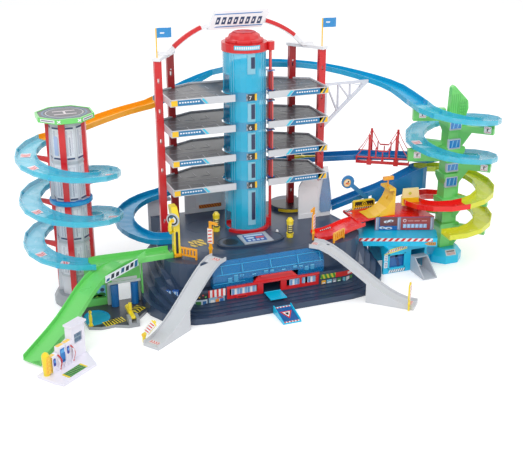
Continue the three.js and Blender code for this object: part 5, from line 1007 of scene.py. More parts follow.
class GARAGE_OT_shop_details(bpy.types.Operator):
    """Prints on the plinth, goods in the shop, the window and lane plates and the exit ramp's sign"""
    bl_idname = "garage.shop_details"
    bl_label = "Shop details"

    def execute(self, context):
        cards = Build(front(SHOP_FACE))
        awning = striped("awning", (224, 52, 48), "white", 0.0085, 0.0, 0.5)
        cards.box((-135, 29, -101, 43.5, 1), 0, 1.6, awning)
        cards.box((-134, 14.5, -103, 28), 0, 0.4, (150, 190, 214))
        for x, z, wide, high, tint in ((-131, 17, 8, 6, (236, 236, 232)), (-121, 16, 7, 8, (232, 140, 54)),
                                       (-112, 17, 7, 7, (52, 104, 168)),
                                       (-118, 24.6, 12, 2.4, (214, 64, 60))):
            cards.box((x, z, x + wide, z + high, 1), 0.35, 0.6, tint)
        corner = rolled(-141, -110, 56, -90)
        cards.wrap(corner, -30, 28, 5, 39, 0.5, (34, 38, 50), 14)
        for u, z, tint in ((-24, 33, "red"), (-17, 35, "white"), (-11, 32, (212, 168, 60)),
                           (-4, 35.6, (224, 70, 60)), (1, 31.6, "green")):
            cards.wrap(corner, u - 1.4, z - 1.2, u + 1.4, z + 1.2, 0.8, tint, 2)
        cards.wrap(corner, -30, 14.5, 4, 26.5, 0.5, (206, 222, 232), 14)
        for u, wide, tint in ((-27, 6, (110, 170, 210)), (-18, 10, (64, 132, 74)), (-5, 7, (52, 110, 170))):
            cards.wrap(corner, u, 16.5, u + wide, 23.5, 0.75, tint, 4)
        leaves = striped("leaf_strip", (70, 150, 44), (216, 204, 60), 0.009, 0.4, 0.55)
        cards.box((95, 29, 127, 38, 0.6), 0, 0.5, leaves)
        cards.box((127, 28, 141, 38, 0.3), 0, 0.5, (206, 44, 40))
        far = rolled(141, -110, 56, -90)
        cards.wrap(far, 0, 28, 27, 38, 0.5, (206, 44, 40), 12)
        cards.wrap(far, 13, 30.6, 22, 35.4, 0.75, (240, 214, 210), 5)
        cards.box((96, 13.5, 141, 26.5), 0, 0.3, (52, 60, 80))
        for x, wide, tint in ((97, 9, (236, 178, 60)), (108, 11, (120, 190, 214)),
                              (121, 8, (150, 160, 170)), (131, 8, (70, 140, 84))):
            cards.box((x, 14.5, x + wide, 25.5, 0.8), 0.25, 0.5, tint)
            cards.box((x + 1.4, 19, x + wide - 1.4, 21, 0.5), 0.45, 0.65, "white")
        for u, wide, tint in ((2, 6, (110, 180, 200)), (10, 8, (210, 216, 220)), (20, 6, (84, 150, 72))):
            cards.wrap(far, u, 14.5, u + wide, 25, 0.5, tint, 4)
        cards.piece("plinth_prints")
        goods = Build(front(-160.9))
        boxes = ((96, 150, 206), (238, 240, 244), (126, 176, 222))
        for left, right, count, ledge in ((-86, -39, 9, (224, 230, 236)), (33, 62, 6, (224, 230, 236)),
                                          (71, 86, 3, (220, 60, 56))):
            goods.box((left - 2, 22, right + 2, 40), 0, 0.5, (176, 208, 232))
            step = (right - left) / count
            for i in range(count):
                x = left + i * step
                goods.box((x, 24, x + step * 0.66, 35 + (i % 3) * 1.4, 0.8), 0.45, 0.75, boxes[i % 3])
            goods.box((left - 2, 22, right + 2, 24), 0.45, 0.8, ledge)
        goods.piece("shop_goods")
        badge = Build(front(SHOP_FACE))
        badge.box((-80, 18.6, -57, 23.4, 2), -1.9, 1.1, plastic("red", 0.3))
        badge.box((-77, 20, -60, 22.2, 1), 1.05, 1.25, (120, 24, 26))
        badge.piece("window_plate")
        lane = Build()
        c, s = direction(32)
        marks = striped("lane_plate", (206, 224, 240), (92, 146, 206), 0.005, 0.0, 0.4)
        for out, measures, low, high, tint in ((0.2, (-12, -8, 12, 9, 1), -6, 0.35, (40, 92, 176)),
                                               (0.5, (-11, -2, 11, 7.6, 0.5), 0, 0.3, marks)):
            place = flat((-198.5 - s * out, -144.2 - c * out, 36), (c, -s, 0), (0, 0, 1))
            lane.prism(place, rect(*measures), low, high, tint)
        lane.piece("lane_plate")
        slope = math.hypot(50, 10)
        sign = Build(flat((-6, -265.3, 2.02), (1, 0, 0), (0, 50 / slope, 10 / slope)))
        marks = striped("exit_marks", "white", (214, 60, 60), 0.006, 0.0, 0.5)
        sign.box((-15.4, 2, 15.4, 49, 1), 0, 0.3, (20, 92, 160))
        sign.box((-15.4, 1, 15.4, 4.4), 0.25, 0.45, marks)
        sign.box((-15.4, 46, 15.4, 49), 0.25, 0.45, marks)
        sign.shape([[0, 12], [12, 34], [-12, 34]], 0.28, 0.55, (214, 46, 44))
        sign.shape([[0, 17], [7.6, 31.4], [-7.6, 31.4]], 0.5, 0.75, "white")
        sign.shape([[-1.6, 23], [1.2, 22], [3.6, 29], [-3.4, 29.6]], 0.7, 0.9, "black")
        sign.piece("exit_sign")
        return {"FINISHED"}


class GARAGE_OT_ramp_details(bpy.types.Operator):
    """Road marks on the grey ramps and the red and white boards of the barrier arms"""
    bl_idname = "garage.ramp_details"
    bl_label = "Ramp details"

    def execute(self, context):
        marks = Build()
        for x, y, z, way, size in ((-112, -154, 98.0, 215.4, 12), (86, -152, 98.0, 317, 12),
                                   (-262, -255.8, 5.8, 215.4, 9), (230, -281, 5.8, 317, 9)):
            spot = ground(z, x, y, way)
            marks.prism(spot, rect(-size * 0.5, -11, size * 0.5, 11, 0.8), 0, 0.3, (238, 226, 224))
            for i in range(4):
                half, low = size * 0.4, -10 + i * 5.2
                chevron = [[-half, low], [0, low + 2.4], [half, low],
                           [half, low + 1.8], [0, low + 4.4], [-half, low + 1.8]]
                marks.prism(spot, chevron, 0.25, 0.5, (214, 62, 58))
        marks.piece("ramp_marks")
        amber = plastic("amber", 0.3)
        for name, pivot, heading, lean in BARRIERS:
            c, s = math.cos(heading), math.sin(heading)
            upright, leant = direction(lean)
            up = np.array([leant * c, leant * s, upright])
            across = np.array([upright * c, upright * s, -leant])
            normal = np.cross(across, up)
            board = Build()
            for side in (1, -1):
                board.place = flat(np.array(pivot) + normal * side * 1.5, across * side, up)
                board.box((-5.6, 10.4, 5.6, 39.6, 0.8), 0, 0.35, "white")
                for low in (12, 19, 26, 33):
                    bar = [[-4.2, low], [4.2, low + 2.4], [4.2, low + 5], [-4.2, low + 2.6]]
                    board.shape(bar, 0.3, 0.5, (222, 66, 54))
                board.disc((0, 0, 3.1, 3.1, 18), 0, 0.5, amber)
            board.piece(f"{name}_board", f"{name}_body")
        return {"FINISHED"}


class GARAGE_OT_window_details(bpy.types.Operator):
    """The skyline printed behind the clear front window, and pale lines painted as highlights along its fold
    and down the posts between its panes
    """
    bl_idname = "garage.window_details"
    bl_label = "Window details"

    def execute(self, context):
        slope = flat((0, -160.4, 83.0), (1, 0, 0), (0, 0.41, 0.912))
        skyline = Build(flat((0, -167.0, 60.5), (1, 0, 0), (0, 0.041, 0.999)))
        # Pale cyan line: painted highlights along the window's fold and on its posts, which are real
        line = printed((70, 176, 216))
        skyline.prism(slope, rect(-118, -14.4, 98, -13.4, 0.3), 0, 0.3, line)
        skyline.prism(slope, rect(-108, 2.4, 98, 3.2, 0.3), 0, 0.3, line)
        skyline.box((-124, -7.4, -62, -6.6, 0.3), 0, 0.3, line)
        for k in range(15):
            left = -96 + 12 * k
            high = (3.2, 6.4, 4.4, 7.2, 2.6)[k * 3 % 5]
            low = -6 if left < -72 or left > 56 else 1.6
            if high - low < 2:
                continue
            skyline.box((left, low, left + 8.4, high, 0.4), 0, 0.3, (44, 140, 186))
            for i in range(3):
                pane = left + 1.1 + 2.4 * i
                skyline.box((pane, high - 2.1, pane + 1.4, high - 0.8, 0.2), 0.25, 0.4, (150, 214, 236))
        # Painted highlights down the posts between the panes
        for x in (-110, -69, -12, 44, 90):
            skyline.prism(slope, rect(x + 3, -12.6, x + 4.2, 1.6, 0.4), 0, 0.3, line)
        skyline.piece("window_skyline")
        return {"FINISHED"}


class GARAGE_OT_left_tower_details(bpy.types.Operator):
    """Panels and bands of the left tower, and the ring, landing marks and rim plates on top"""
    bl_idname = "garage.left_tower_details"
    bl_label = "Left tower details"

    def execute(self, context):
        panels = Build()
        for k in range(8):
            middle = 45 * k
            # A side with a rib in its middle has no panel
            if max(direction(middle - rib)[0] for rib in TOWER_RIBS) > 0.995:
                continue
            panels.place = facet(*LEFT_TOWER, TOWER_SIDE, middle)
            for low, high in ((62, 122), (136, 198), (214, 278), (292, 346)):
                panels.box((-8.4, low, 8.4, high, 1.5), 0, 0.35, (226, 230, 236))
                panels.box((-6.2, low + 4, -2.2, high - 4, 1), 0.3, 0.5, (196, 202, 214))
                panels.box((0.2, low + 4, 2.4, high - 16, 0.8), 0.3, 0.5, (168, 172, 186))
                panels.box((4.0, low + 10, 6.4, high - 4, 0.8), 0.3, 0.5, (206, 206, 216))
            for low in range(66, 346, 9):
                if not any(abs(low - stop) < 8 for stop in (128, 206, 283, 352)):
                    panels.box((-7.8, low, 7.8, low + 1.1), 0.45, 0.6, (206, 210, 220))
            for low in (134, 212, 289, 345):
                panels.box((-8.4, low, 8.4, low + 3, 0.4), 0.45, 0.7, (52, 72, 112))
        panels.place = facet(*LEFT_TOWER, TOWER_SIDE, -135)
        panels.box((-6, 296, 2, 332, 3), 0.55, 0.8, (176, 196, 232))
        panels.piece("tower_panels")
        bands = Build()
        silver = plastic((186, 192, 198), 0.28)
        for z in TOWER_BANDS:
            for k in range(8):
                bands.place = facet(*LEFT_TOWER, TOWER_SIDE, 45 * k)
                bands.box((-11.4, z - 2, 11.4, z + 2.4), 0, 1.1, silver)
        bands.piece("tower_bands")
        ring = Build()
        profile = [[38.0, 202], [39.6, 203.4], [39.6, 208.6], [38.0, 210]]
        ring.lathe(*LEFT_TOWER, profile, plastic((14, 150, 208), 0.28), 32)
        ring.piece("tower_ring")
        pad = Build(ground(368.3, *LEFT_TOWER))
        corners = [(i + 0.5) / 8 * TURN for i in range(8)]
        octagon = [(48.4 * math.cos(a), 48.4 * math.sin(a)) for a in corners]
        pad.shape(octagon, 0, 0.3, plastic((64, 62, 72), 0.4))
        for radius, width, tint in ((41, 3.6, (60, 104, 140)), (34, 1.8, (176, 182, 186))):
            for k in range(36):
                a, b = k / 36 * TURN, (k + 1.02) / 36 * TURN
                arc = [(reach * math.cos(v), reach * math.sin(v)) for reach, v in
                       ((radius, a), (radius, b), (radius - width, b), (radius - width, a))]
                pad.shape(arc, 0.25, 0.5, tint)
        for low in (-13, 9):
            pad.box((-20, low, 20, low + 4, 0.4), 0.25, 0.55, MARK_INK)
        pad.box((-2, -9.4, 2, 9.4), 0.25, 0.5, MARK_INK)
        pad.piece("pad_marks", "playset")
        rim = Build()
        apothem = 54 * math.cos(math.radians(22.5))
        for middle in (-135, -90, -45):
            rim.place = facet(*LEFT_TOWER, apothem, middle)
            if middle != -90:
                rim.box((-15, 362.4, 15, 367.6, 1), 0, 0.5, (236, 238, 242))
                rim.box((-13, 364.4, 13, 365.6, 0.3), 0.45, 0.7, (60, 66, 76))
                continue
            for side in (-18, 18):
                for turn, thick in ((0.7, 0.6), (-0.7, 0.5)):
                    c, s = math.cos(turn), math.sin(turn)
                    bar = rect(-3.6, -0.9, 3.6, 0.9) @ np.array([[c, s], [-s, c]]) + np.array([side, 365])
                    rim.shape(bar, 0, thick, "white")
        rim.piece("pad_rim_plates")
        return {"FINISHED"}


def arrows(build, spiral, angles, half, reach):
    """Chevrons on a track floor that point along the way down."""
    for spot, out, way in helix_frames(*spiral, angles):
        place = flat(spot + np.array((0, 0, TRACK_FLOOR)), out, way)
        build.prism(place, rect(-half - 1.2, -reach - 2.4, half + 1.2, reach + 2.4, 0.8), 0, 0.2, ARROW_EDGE)
        for low in (-reach * 0.9, reach * 0.05):
            tip = low + reach * 0.6
            chevron = [[-half, low], [0, tip], [half, low],
                       [half, low + 2.6], [0, tip + 3], [-half, low + 2.6]]
            build.prism(place, chevron, 0.15, 0.35, ARROW_RED)


class GARAGE_OT_spiral_details(bpy.types.Operator):
    """Arrow prints on the floors of the two spirals and the small clips on their rims"""
    bl_idname = "garage.spiral_details"
    bl_label = "Spiral details"

    def execute(self, context):
        for name, spiral, angles, half, reach in (
                ("left_arrows", LEFT_SPIRAL, (165, 205, 345, 565, 705, 925, 965), 8, 5),
                ("right_arrows", UPPER_SPIRAL, (-118, -60, 170, 242, 300), 9, 6)):
            prints = Build()
            arrows(prints, spiral, angles, half, reach)
            prints.piece(name)
        clips = Build()
        teal = plastic((40, 170, 212), 0.3)
        for spiral, angles in ((LEFT_SPIRAL, (150, 240, 385, 510, 600, 745, 870, 960)),
                               (UPPER_SPIRAL, range(-150, 440, 120))):
            for spot, out, way in helix_frames(*spiral, angles):
                for side in (-1, 1):
                    clips.place = flat(spot + out * TRACK_HALF * side, way * -side, (0, 0, 1))
                    clips.box((-3, 0, 3, 5.4, 0.8), 0, 1.0, teal)
        clips.piece("spiral_clips")
        return {"FINISHED"}


def arm_sign(build, place, u, v):
    """A square plate with slanted red bars along its edges and a bent black arrow."""
    build.prism(place, rect(u - 7.2, v - 6.8, u + 7.2, v + 6.8, 1.2), 0, 0.5, "white")
    for side in (-5.2, 3.6):
        for k in range(4):
            left, low = u - 6.2 + 3.2 * k, v + side
            build.prism(place, slanted(left, low, left + 1.6, low + 1.6, 1), 0.4, 0.65, "red")
    build.prism(place, rect(u - 1.6, v - 3, u + 0.4, v + 1.6), 0.4, 0.7, "black")
    build.prism(place, [[u - 2.6, v + 0.6], [u + 4.2, v + 2.0], [u - 0.4, v + 3.4]], 0.4, 0.7, "black")


def window_pane(build, left, low, right, high, deep):
    """A printed window: pale frame, blue glass, two lighter gleams and a grey sill."""
    build.box((left, low, right, high, 1), 0, deep, (196, 206, 220))
    glass = plastic((40, 132, 210), 0.16, 1.0, 0.5)
    build.box((left + 2, low + 3, right - 2, high - 2, 0.6), deep - 0.3, deep + 0.1, glass)
    for start in (0.25, 0.6):
        u = left + (right - left) * start
        build.slant((u, low + 4, u + 2.2, high - 3, 2.4), deep, deep + 0.2, (130, 200, 240))
    build.box((left + 2, low + 1, right - 2, low + 2.2), deep - 0.2, deep + 0.15, "grey")


class GARAGE_OT_right_tower_details(bpy.types.Operator):
    """Windows, ribs, arm boxes and arm signs of the green tower, and the plate on its foot"""
    bl_idname = "garage.right_tower_details"
    bl_label = "Right tower details"

    def execute(self, context):
        windows = Build(front(-113))
        for low, high in ((286, 304), (246, 267), (198, 216), (165, 187), (112, 129)):
            window_pane(windows, 393.5, low, 421.5, high, 5.7)
        windows.piece("tower_windows")
        green = plastic("green", 0.3)
        shade = plastic((92, 190, 92), 0.34)
        moulding = Build(front(-105.5))
        for k in range(8):
            moulding.box((401.5 + 4.8 * k, 306, 402.5 + 4.8 * k, 344 + 12 * (k < 5), 0.4), -0.2, 0.5, shade)
        for low in (312, 318, 324, 330, 336):
            moulding.box((420, low, 436, low + 1.2, 0.4), 0.4, 0.9, shade)
        moulding.box((418.6, 309, 420, 341, 0.4), 0.3, 0.9, green)
        moulding.box((418.6, 340, 437, 341.4, 0.4), 0.3, 0.9, green)
        moulding.piece("fin_ribs")
        boxes = Build()
        signs = Build()
        for x, y, low, high in ((333, -76, 301, 326), (329, -72, 215, 241)):
            boxes.place = flat((x, y, 0), (0.95, -0.32, 0), (0, 0, 1))
            boxes.box((0, low, 66, high, 1.5), -12, 0, green)
            boxes.box((3, low + 2.5, 33, low + 3.7, 0.4), -0.1, 0.5, shade)
            boxes.box((3, high - 3.7, 33, high - 2.5, 0.4), -0.1, 0.5, shade)
            arm_sign(signs, boxes.place, 19, (low + high) / 2 + 1)
        for v in (291, 212.5):
            arm_sign(signs, facet(0, 0, -219.9, -136.2), 429.6, v)
        boxes.piece("left_arm_boxes", bevel=0.6)
        signs.piece("arm_signs")
        foot = Build(flat((411, -131, 23.2), (1, 0, 0), (0, 0.59, 0.81)))
        foot.box((-12, -6.4, 12, 6, 1.4), 0, 0.5, (196, 200, 206))
        foot.box((-9.4, 0.6, 9.4, 4.2, 0.6), 0.4, 0.7, (120, 112, 116))
        for low in (-4.6, -2.2):
            foot.box((-9.4, low, 9.4, low + 1.1, 0.4), 0.4, 0.7, (198, 96, 92))
        for angle in range(-165, -20, 18):
            foot.place = facet(*RIGHT_TOWER, 36.2, angle)
            foot.box((-1.2, 0.5, 1.2, 12, 0.5), -3, -0.4, plastic((20, 150, 190), 0.3))
        foot.piece("tower_foot_plate")
        return {"FINISHED"}


class GARAGE_OT_station_details(bpy.types.Operator):
    """Front, hazard sign, roof prints and track gate of the red station, and the target's round sticker"""
    bl_idname = "garage.station_details"
    bl_label = "Red station details"

    def execute(self, context):
        black, white, brick = (printed(tint) for tint in ("black", "white", (166, 62, 62)))
        post = plastic((146, 152, 172), 0.32)
        panel = Build(facet(0, 0, -2.4, math.degrees(math.atan2(-0.94, -0.34))))
        start = 267.4
        panel.box((start, 80.6, start + 120, 109.4, 0.6), 0, 0.35, (30, 104, 176))
        panel.box((start + 9, 90, start + 45, 109, 0.6), 0.3, 0.5, (116, 62, 62))
        panel.box((start + 52, 81, start + 113, 108.6, 1.6), 0.3, 0.55, brick)
        for left in (start, start + 45, start + 113):
            panel.box((left, 80.6, left + 7, 109.2, 0.8), 0.3, 1.0, post)
            # A pale strip down each post: painted highlight
            panel.box((left + 1.4, 83, left + 3, 107, 0.5), 0.9, 1.2, (196, 206, 228))
        for k in range(6):
            left = start + 57 + 8.4 * k
            panel.box((left, 85.5, left + 7, 94, 0.5), 0.5, 0.8, (168, 200, 236))
            # A pale slanted strip on each window: painted glint
            panel.slant((left + 1.4, 86.5, left + 3, 93, 1.5), 0.7, 0.9, (216, 230, 246))
        panel.disc((start + 60, 101.5, 3.6, 3.6), 0.5, 0.75, (236, 214, 220))
        panel.disc((start + 60, 101.5, 2.2, 2.2), 0.7, 0.9, brick)
        for left in (67, 80, 95):
            panel.box((start + left, 100, start + left + 11, 101.6, 0.6), 0.5, 0.75, (222, 168, 168))
        for x, y, across in ((22, 99, 5), (31, 101, 6), (14, 86, 6), (27, 85, 8)):
            panel.disc((start + x, y, across, 2.6), 0.4, 0.7, (226, 232, 242))
            panel.disc((start + x + 1, y - 0.4, across * 0.4, 1.2), 0.6, 0.85, (60, 60, 84))
        panel.piece("station_front")
        sign = Build(front(-36))
        sign.box((227.2, 114.6, 276.8, 128.8, 2.5), 0, 0.6, "yellow")
        sign.box((230.4, 116.8, 273.6, 126.8, 1), 0.5, 0.8, black)
        for measures, low, high, tint in (((252, 121.4, 5.4, 5), 0.7, 1.0, "yellow"),
                                          ((252, 121.4, 3.6, 3.4), 0.9, 1.2, black),
                                          ((252, 120.9, 1.8, 1.7), 1.1, 1.3, "yellow")):
            sign.disc(measures, low, high, tint)
        for k in (0, 1, 2, 5, 6, 7):
            sign.slant((232 + 5 * k, 117.6, 234 + 5 * k, 119.8, 1.6), 0.7, 1.0, "yellow")
        for k in range(9):
            left = 229 + 5.2 * k
            sign.slant((left, 111, left + 2.6, 114, 2), 0, 0.5, black)
            sign.slant((left + 2.6, 111, left + 4.2, 114, 2), 0, 0.45, white)
        sign.piece("hazard_sign")
        roof = Build(ground(110.0, 206.8, -46, 22))
        roof.box((2, 3, 31, 10.5, 0.5), 0, 0.3, black)
        for k in range(6):
            roof.slant((3.4 + 4.6 * k, 3.8, 5.8 + 4.6 * k, 9.8, 2.0), 0.25, 0.45, white)
        for low, high, wide, tint in ((0, 0.3, 7.6, black), (0.25, 0.5, 5.2, white)):
            arrow = [[1.6, -5 - wide], [4.8, -5], [1.6, -5 + wide],
                     [4.8, -5 + wide], [8, -5], [4.8, -5 - wide]]
            roof.shape(arrow, low, high, tint)
        roof.place = flat((137.5, -89.8, 100.0), (0.99, 0, 0.13), (0, 1, 0.01))
        roof.box((-13, -4, 13, 2.6, 0.4), 0, 0.35, black)
        for k in range(6):
            roof.slant((-12.2 + 4.2 * k, -3.4, -10 + 4.2 * k, 2.0, 1.8), 0.3, 0.5, white)
        roof.piece("station_roof_print")
        c, s = direction(165)
        x, y = RIGHT_TOWER
        gate = Build(flat((x + 97 * c, y + 97 * s, 0), (-c, -s, 0), (0, 0, 1)))
        cream = plastic((250, 244, 176), 0.3)
        gate.shape([[0, 138], [37, 139], [34.5, 160], [2, 158.5]], -1.5, 1.5, cream)
        gate.box((0.6, 126, 2.4, 139), -1.5, 1.5, cream)
        gate.box((34.6, 128, 36.6, 140), -1.5, 1.5, cream)
        gate.disc((17, 148, 3.4, 3.4, 14), 1.4, 1.9, (212, 222, 70))
        block = [[0.6, 122], [34, 122], [37, 130], [35, 138.6], [0, 138.6]]
        gate.shape(block, -8, 3, plastic((244, 218, 24), 0.3))
        gate.piece("track_gate")
        target = Build(front(-24.6, 216.4, 167.5))
        target.disc((0, 0, 8.4, 8.4, 28), 0, 0.3, (232, 176, 60))
        target.disc((0, 0, 7.0, 7.0, 28), 0.25, 0.45, (240, 226, 190))
        target.slant((-5, -2.5, 1, 1, 3), 0.4, 0.6, (206, 60, 40))
        target.slant((-2, -4, 4, -1, 2), 0.4, 0.65, (236, 150, 40))
        target.disc((2.6, 2.6, 1.8, 1.8, 12), 0.4, 0.65, (60, 60, 70))
        target.piece("target_mark", "jump_target_body")
        return {"FINISHED"}


class GARAGE_OT_garage_details(bpy.types.Operator):
    """Striped slab edge, hazard band, window glass with a painted reflection and painted shade, and step
    marks of the blue building
    """
    bl_idname = "garage.garage_details"
    bl_label = "Blue building details"

    def execute(self, context):
        band = Build(flat((202, -113, 0), (148, -59, 0), (0, 0, 1)))
        band.box((1, 73, 150, 79.6, 0.8), 0, 0.5, striped("slab_stripes", "white", "red", 0.0124, -0.9, 0.5))
        band.shape([[134, 68], [141, 64.4], [157, 64.4], [157, 71.6], [141, 71.6]], 0, 0.5, (206, 146, 84))
        band.box((143, 65.6, 156, 70.4), 0.4, 0.7, (122, 112, 58))
        for k in range(3):
            band.slant((144 + 4 * k, 66, 145.8 + 4 * k, 70, 1.2), 0.6, 0.85, (222, 140, 60))
        band.piece("slab_stripes")
        marks = Build(front(BUILDING_FACE))
        lean = 0.16
        hazard = [[251, 42.5], [303, 42.5 + 52 * lean], [303, 51.5 + 52 * lean], [251, 51.5]]
        marks.shape(hazard, 0, 0.5, (238, 226, 90))
        tints = ((220, 160, 190), (150, 140, 176), (232, 150, 110))
        for k in range(9):
            left = 253 + 5.4 * k
            low = 45.4 + (left - 251) * lean
            marks.slant((left, low, left + 2.8, low + 5, 2), 0.4, 0.7, tints[k % 3])
            marks.slant((left + 2.8, low, left + 4.6, low + 5, 2), 0.4, 0.65, (240, 240, 244))
        for low in (14, 29):
            marks.box((251.4, low, 259.4, low + 13, 0.8), 0, 0.5, (232, 238, 244))
            for k in range(3):
                marks.box((252.8, low + 2 + 3.6 * k, 258, low + 4 + 3.6 * k, 0.4), 0.4, 0.65, (128, 150, 172))
        for k in range(7):
            left = 262 + 5.4 * k
            marks.slant((left, 1.2, left + 2.8, 7.6, 3), 0, 0.5, "white")
            marks.slant((left + 2.8, 1.2, left + 4.4, 7.6, 3), 0, 0.5, (60, 66, 80))
        marks.piece("building_marks")
        window = Build(front(BUILDING_FACE))
        for measures in ((260, 10, 263, 43, 0.8), (297, 10, 300, 43, 0.8),
                         (260, 40.5, 300, 43.5, 0.8), (260, 9, 300, 12, 0.8)):
            window.box(measures, -0.2, 1.4, plastic((16, 196, 232), 0.3))
        window.prism(front(-131.5), rect(261, 10, 299, 42), 0, 0.6, plastic((18, 96, 164), 0.2))
        # Over the glass: a darker slanted streak is a painted reflection, and a darker band under the top bar
        # is painted shade
        window.place = front(-132.2)
        window.slant((284, 12, 290, 41, -8), 0, 0.4, plastic((12, 66, 128), 0.24))
        window.box((262.5, 34, 297, 41), 0, 0.4, plastic((10, 58, 118), 0.24))
        window.piece("building_window")
        return {"FINISHED"}


class GARAGE_OT_wash_details(bpy.types.Operator):
    """Stripes, chevrons, banner and picture panel of the pond and the car wash"""
    bl_idname = "garage.wash_details"
    bl_label = "Pond and wash details"

    def execute(self, context):
        ink = Build(ground(PLATE_TOP, -311, -153, 14))
        ink.box((-20, -10, 19, 9, 0.5), 0, 0.3, "yellow")
        for k in range(7):
            left = -18.4 + 5.5 * k
            ink.slant((left, -9.4, left + 2.8, 8.4, 1.5 - 0.6 * k), 0.25, 0.5, "black")
        ink.place = ground(PLATE_TOP, -260.5, -119, 40)
        ink.box((-12, -11, 13, 10, 0.5), 0, 0.3, "yellow")
        for left in (-10.5, -2.9, 4.7):
            chevron = [[left, -10], [left + 4, -10], [left + 9, 0],
                       [left + 4, 9.4], [left, 9.4], [left + 5, 0]]
            ink.shape(np.minimum(chevron, [12.4, 99]), 0.25, 0.5, "black")
        for k in range(5):
            turn = -88 + 15 * k
            c, s = direction(turn)
            spot = ground(PLATE_TOP, -337 + 29.5 * c, -124 + 35.5 * s, turn + 90)
            ink.prism(spot, rect(-2.4, -1.4, 2.4, 1.4), 0, 0.3, "yellow" if k % 2 else "black")
        ink.piece("plate_stripes")
        green = plastic("green", 0.3)
        banner = Build(flat((-324, -150.5, 0), (70.5, 33.5, 0), (0, 0, 1)))
        left, right, foot, head, high = 1.7, 78.0, 84.0, 94.6, 13.4
        board = [[left, foot], [right, head], [right - 1.5, head + high], [left + 0.9, foot + high - 0.6]]
        banner.shape(board, 0.4, 1.8, plastic((228, 236, 242), 0.28))
        # Share of the way along the banner, foot and head as shares of its height
        for start, low, top, tint in ((0.02, 0.12, 0.5, (20, 96, 140)), (0.16, 0.2, 0.84, NIGHT_INK),
                                      (0.3, 0.14, 0.7, NIGHT_INK), (0.46, 0.24, 0.9, (40, 90, 130)),
                                      (0.6, 0.16, 0.8, NIGHT_INK), (0.74, 0.3, 0.9, NIGHT_INK),
                                      (0.87, 0.05, 0.95, (16, 110, 150))):
            u = left + (right - left) * start
            base = foot + (head - foot) * start
            shape = [[u, base + high * low], [u + 7, base + 1 + high * low],
                     [u + 8.6, base + 1 + high * top], [u + 2, base + high * top]]
            banner.shape(np.minimum(shape, [right - 1.6, 999]), 1.7, 2.0, tint)
        for u in (16, 40, 64):
            banner.box((u - 1.5, foot + u * 0.14 + 2, u + 1.5, foot + u * 0.14 + 9), -5, 0.5, green)
        arch = [[-306.5, 56.8], [-245.5, 56.8], [-245.5, 92], [-306.5, 68]]
        banner.prism(front(-93.6), arch, -2, 0, green)
        banner.prism(front(-94.4), rect(-300, 58, -252, 64, 1.5), -0.6, 0.4, plastic((206, 214, 216), 0.3))
        banner.piece("wash_banner")
        picture = Build(front(-79))
        picture.box((-338, 22, -310, 47, 0.8), 0, 0.4, (120, 200, 232))
        for measures, tint in (((-331, 30, 7, 5, 14), (60, 150, 60)), ((-318, 28, 8, 5, 14), (40, 120, 50)),
                               ((-325, 26, 10, 3, 14), (140, 200, 60)), ((-316, 38, 4, 4, 14), (60, 80, 110)),
                               ((-334, 25, 3, 3, 14), (230, 220, 60))):
            picture.disc(measures, 0.3, 0.7, tint)
        picture.box((-338, 22, -310, 24.5, 0.4), 0.5, 0.8, (60, 140, 50))
        picture.piece("wash_picture")
        return {"FINISHED"}


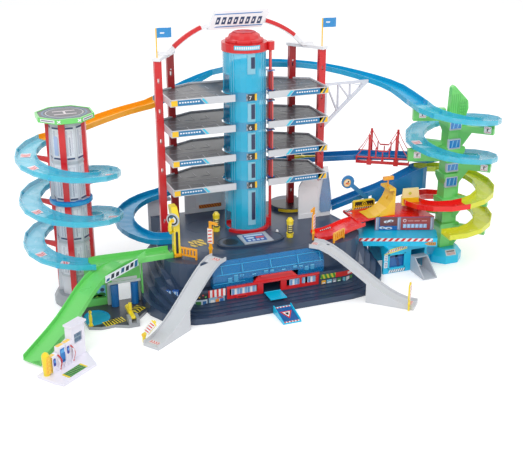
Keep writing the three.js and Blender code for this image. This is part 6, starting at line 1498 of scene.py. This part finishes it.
class GARAGE_OT_filling_details(bpy.types.Operator):
    """Screens, hoses, caps, pylon print and striped pad of the filling station"""
    bl_idname = "garage.filling_details"
    bl_label = "Filling station details"

    def execute(self, context):
        out, along = STATION_OUT, STATION_ALONG
        heading = math.degrees(math.atan2(-0.8, 0.6))
        screens = Build(facet(0, 0, -35.65, heading))
        screens.box((-475.4, 32.4, -457, 49.6, 0.6), 0, 0.5, (108, 136, 160))
        for measures in ((-472, 45, 2.6, 2, 12), (-463, 44, 4, 2.4, 12), (-468, 37, 5, 2, 12),
                         (-460, 36.6, 2.4, 2.6, 12)):
            screens.disc(measures, 0.4, 0.65, (84, 110, 138))
        screens.box((-475, 40.4, -457.4, 41.4), 0.4, 0.7, (160, 178, 192))
        screens.place = facet(0, 0, -30.0, heading)
        for left, right, low, high, tint in ((-512.6, -502, 14, 40, (34, 128, 208)),
                                             (-496.6, -491.4, 24, 38, (70, 72, 178)),
                                             (-529, -524, 16, 30, (70, 72, 178))):
            screens.box((left, low, right, high, 2), 0, 0.6, tint)
            screens.box((left + 1.2, high - 8, right - 1.2, high - 3, 1), 0.5, 0.85, (90, 176, 236))
            screens.box((left + 1.2, low + 3, right - 1.2, low + 4.4, 0.5), 0.5, 0.85, (24, 60, 130))
        screens.piece("pump_screens")
        caps = Build()
        for left, right, z in ((-514.4, -500.4, 44), (-497.8, -484, 44), (-531, -522, 33.9)):
            caps.place = flat(out * -36.2 + (0, 0, z), along, out)
            caps.box((left, -3.6, right, 3.6, 1.2), -0.2, 1.2, plastic((250, 206, 92), 0.3))
        caps.piece("pump_caps")
        hoses = Build()
        red = plastic((212, 44, 40), 0.3)
        turns = np.linspace(0, 1, 15)
        bulge = np.sin(turns * math.pi)
        for start, top, low in ((-488.6, 37, 8), (-519.6, 34, 7)):
            u = start + 5.0 * bulge + 3.0 * turns
            w = -28.6 + 1.5 * bulge
            z = top + (low - top) * turns
            path = out * w[:, None] + along * u[:, None] + np.c_[z * 0, z * 0, z]
            hoses.tube(path, 1.2, red)
            nozzle = [[0.6, low - 2], [2.1, low - 1], [2.1, low + 1.6], [0.8, low + 2.6]]
            hoses.lathe(path[-1, 0], path[-1, 1], nozzle, red, 10)
        hoses.piece("pump_hoses")
        x, y, _ = out * -34.8 + along * -539.4
        sign = rolled(x, y, 6.9, heading - 12)
        pylon = Build(sign)
        pylon.wrap(sign, -6.0, 9, 6.0, 40, 0.4, (246, 196, 60))
        for low in (11.5, 18.5, 25.5, 32.5):
            pylon.slant((-3.6, low, 3.4, low + 4.6, 1.0), 0.3, 0.7, (228, 112, 48))
            pylon.box((-1.6, low + 1.4, 1.8, low + 3, 0.5), 0.6, 0.9, (250, 214, 96))
        pylon.piece("pylon_print")
        pad = Build(ground(5, -408.8, -299.2, 36.87))
        pad.box((-22, -8.4, 22, 8.4, 0.8), 0, 0.3, (46, 150, 66))
        for end in (-22, 18.6):
            pad.box((end, -8.4, end + 3.4, 8.4, 0.4), 0.25, 0.5, "yellow")
        for k in range(8):
            left = -17.6 + 4.6 * k
            pad.box((left, -7.4, left + 1.6, 7.4, 0.3), 0.25, 0.5, (26, 74, 48))
            pad.box((left + 1.6, -7.4, left + 2.1, 7.4), 0.25, 0.5, (190, 226, 120))
        pad.piece("filling_pad")
        return {"FINISHED"}


class GARAGE_PT_panel(bpy.types.Panel):
    """Lists the garage's steps in the sidebar"""
    bl_idname = "GARAGE_PT_panel"
    bl_label = "Toy parking garage"
    bl_space_type = "VIEW_3D"
    bl_region_type = "UI"
    bl_category = "Garage"

    def draw(self, context):
        for kind in OPERATORS:
            self.layout.operator(kind.bl_idname)
        for group in (context.scene.garage_stage, context.scene.garage_colours):
            for name in type(group).__annotations__:
                self.layout.prop(group, name)


OPERATORS = (
    GARAGE_OT_stage, GARAGE_OT_finishes, GARAGE_OT_lift_details, GARAGE_OT_deck_details,
    GARAGE_OT_arch_details, GARAGE_OT_podium_details, GARAGE_OT_shop_details, GARAGE_OT_ramp_details,
    GARAGE_OT_window_details, GARAGE_OT_left_tower_details, GARAGE_OT_spiral_details,
    GARAGE_OT_right_tower_details,
    GARAGE_OT_station_details, GARAGE_OT_garage_details, GARAGE_OT_wash_details,
    GARAGE_OT_filling_details,
)
CLASSES = (GARAGE_PG_stage, GARAGE_PG_colours, *OPERATORS, GARAGE_PT_panel)


def register():
    for kind in CLASSES:
        bpy.utils.register_class(kind)
    bpy.types.Scene.garage_stage = bpy.props.PointerProperty(type=GARAGE_PG_stage)
    bpy.types.Scene.garage_colours = bpy.props.PointerProperty(type=GARAGE_PG_colours)


def unregister():
    del bpy.types.Scene.garage_colours
    del bpy.types.Scene.garage_stage
    for kind in reversed(CLASSES):
        bpy.utils.unregister_class(kind)


def main():
    register()
    for kind in OPERATORS:
        getattr(bpy.ops.garage, kind.bl_idname.split(".")[1])()


if __name__ == "__main__":
    main()
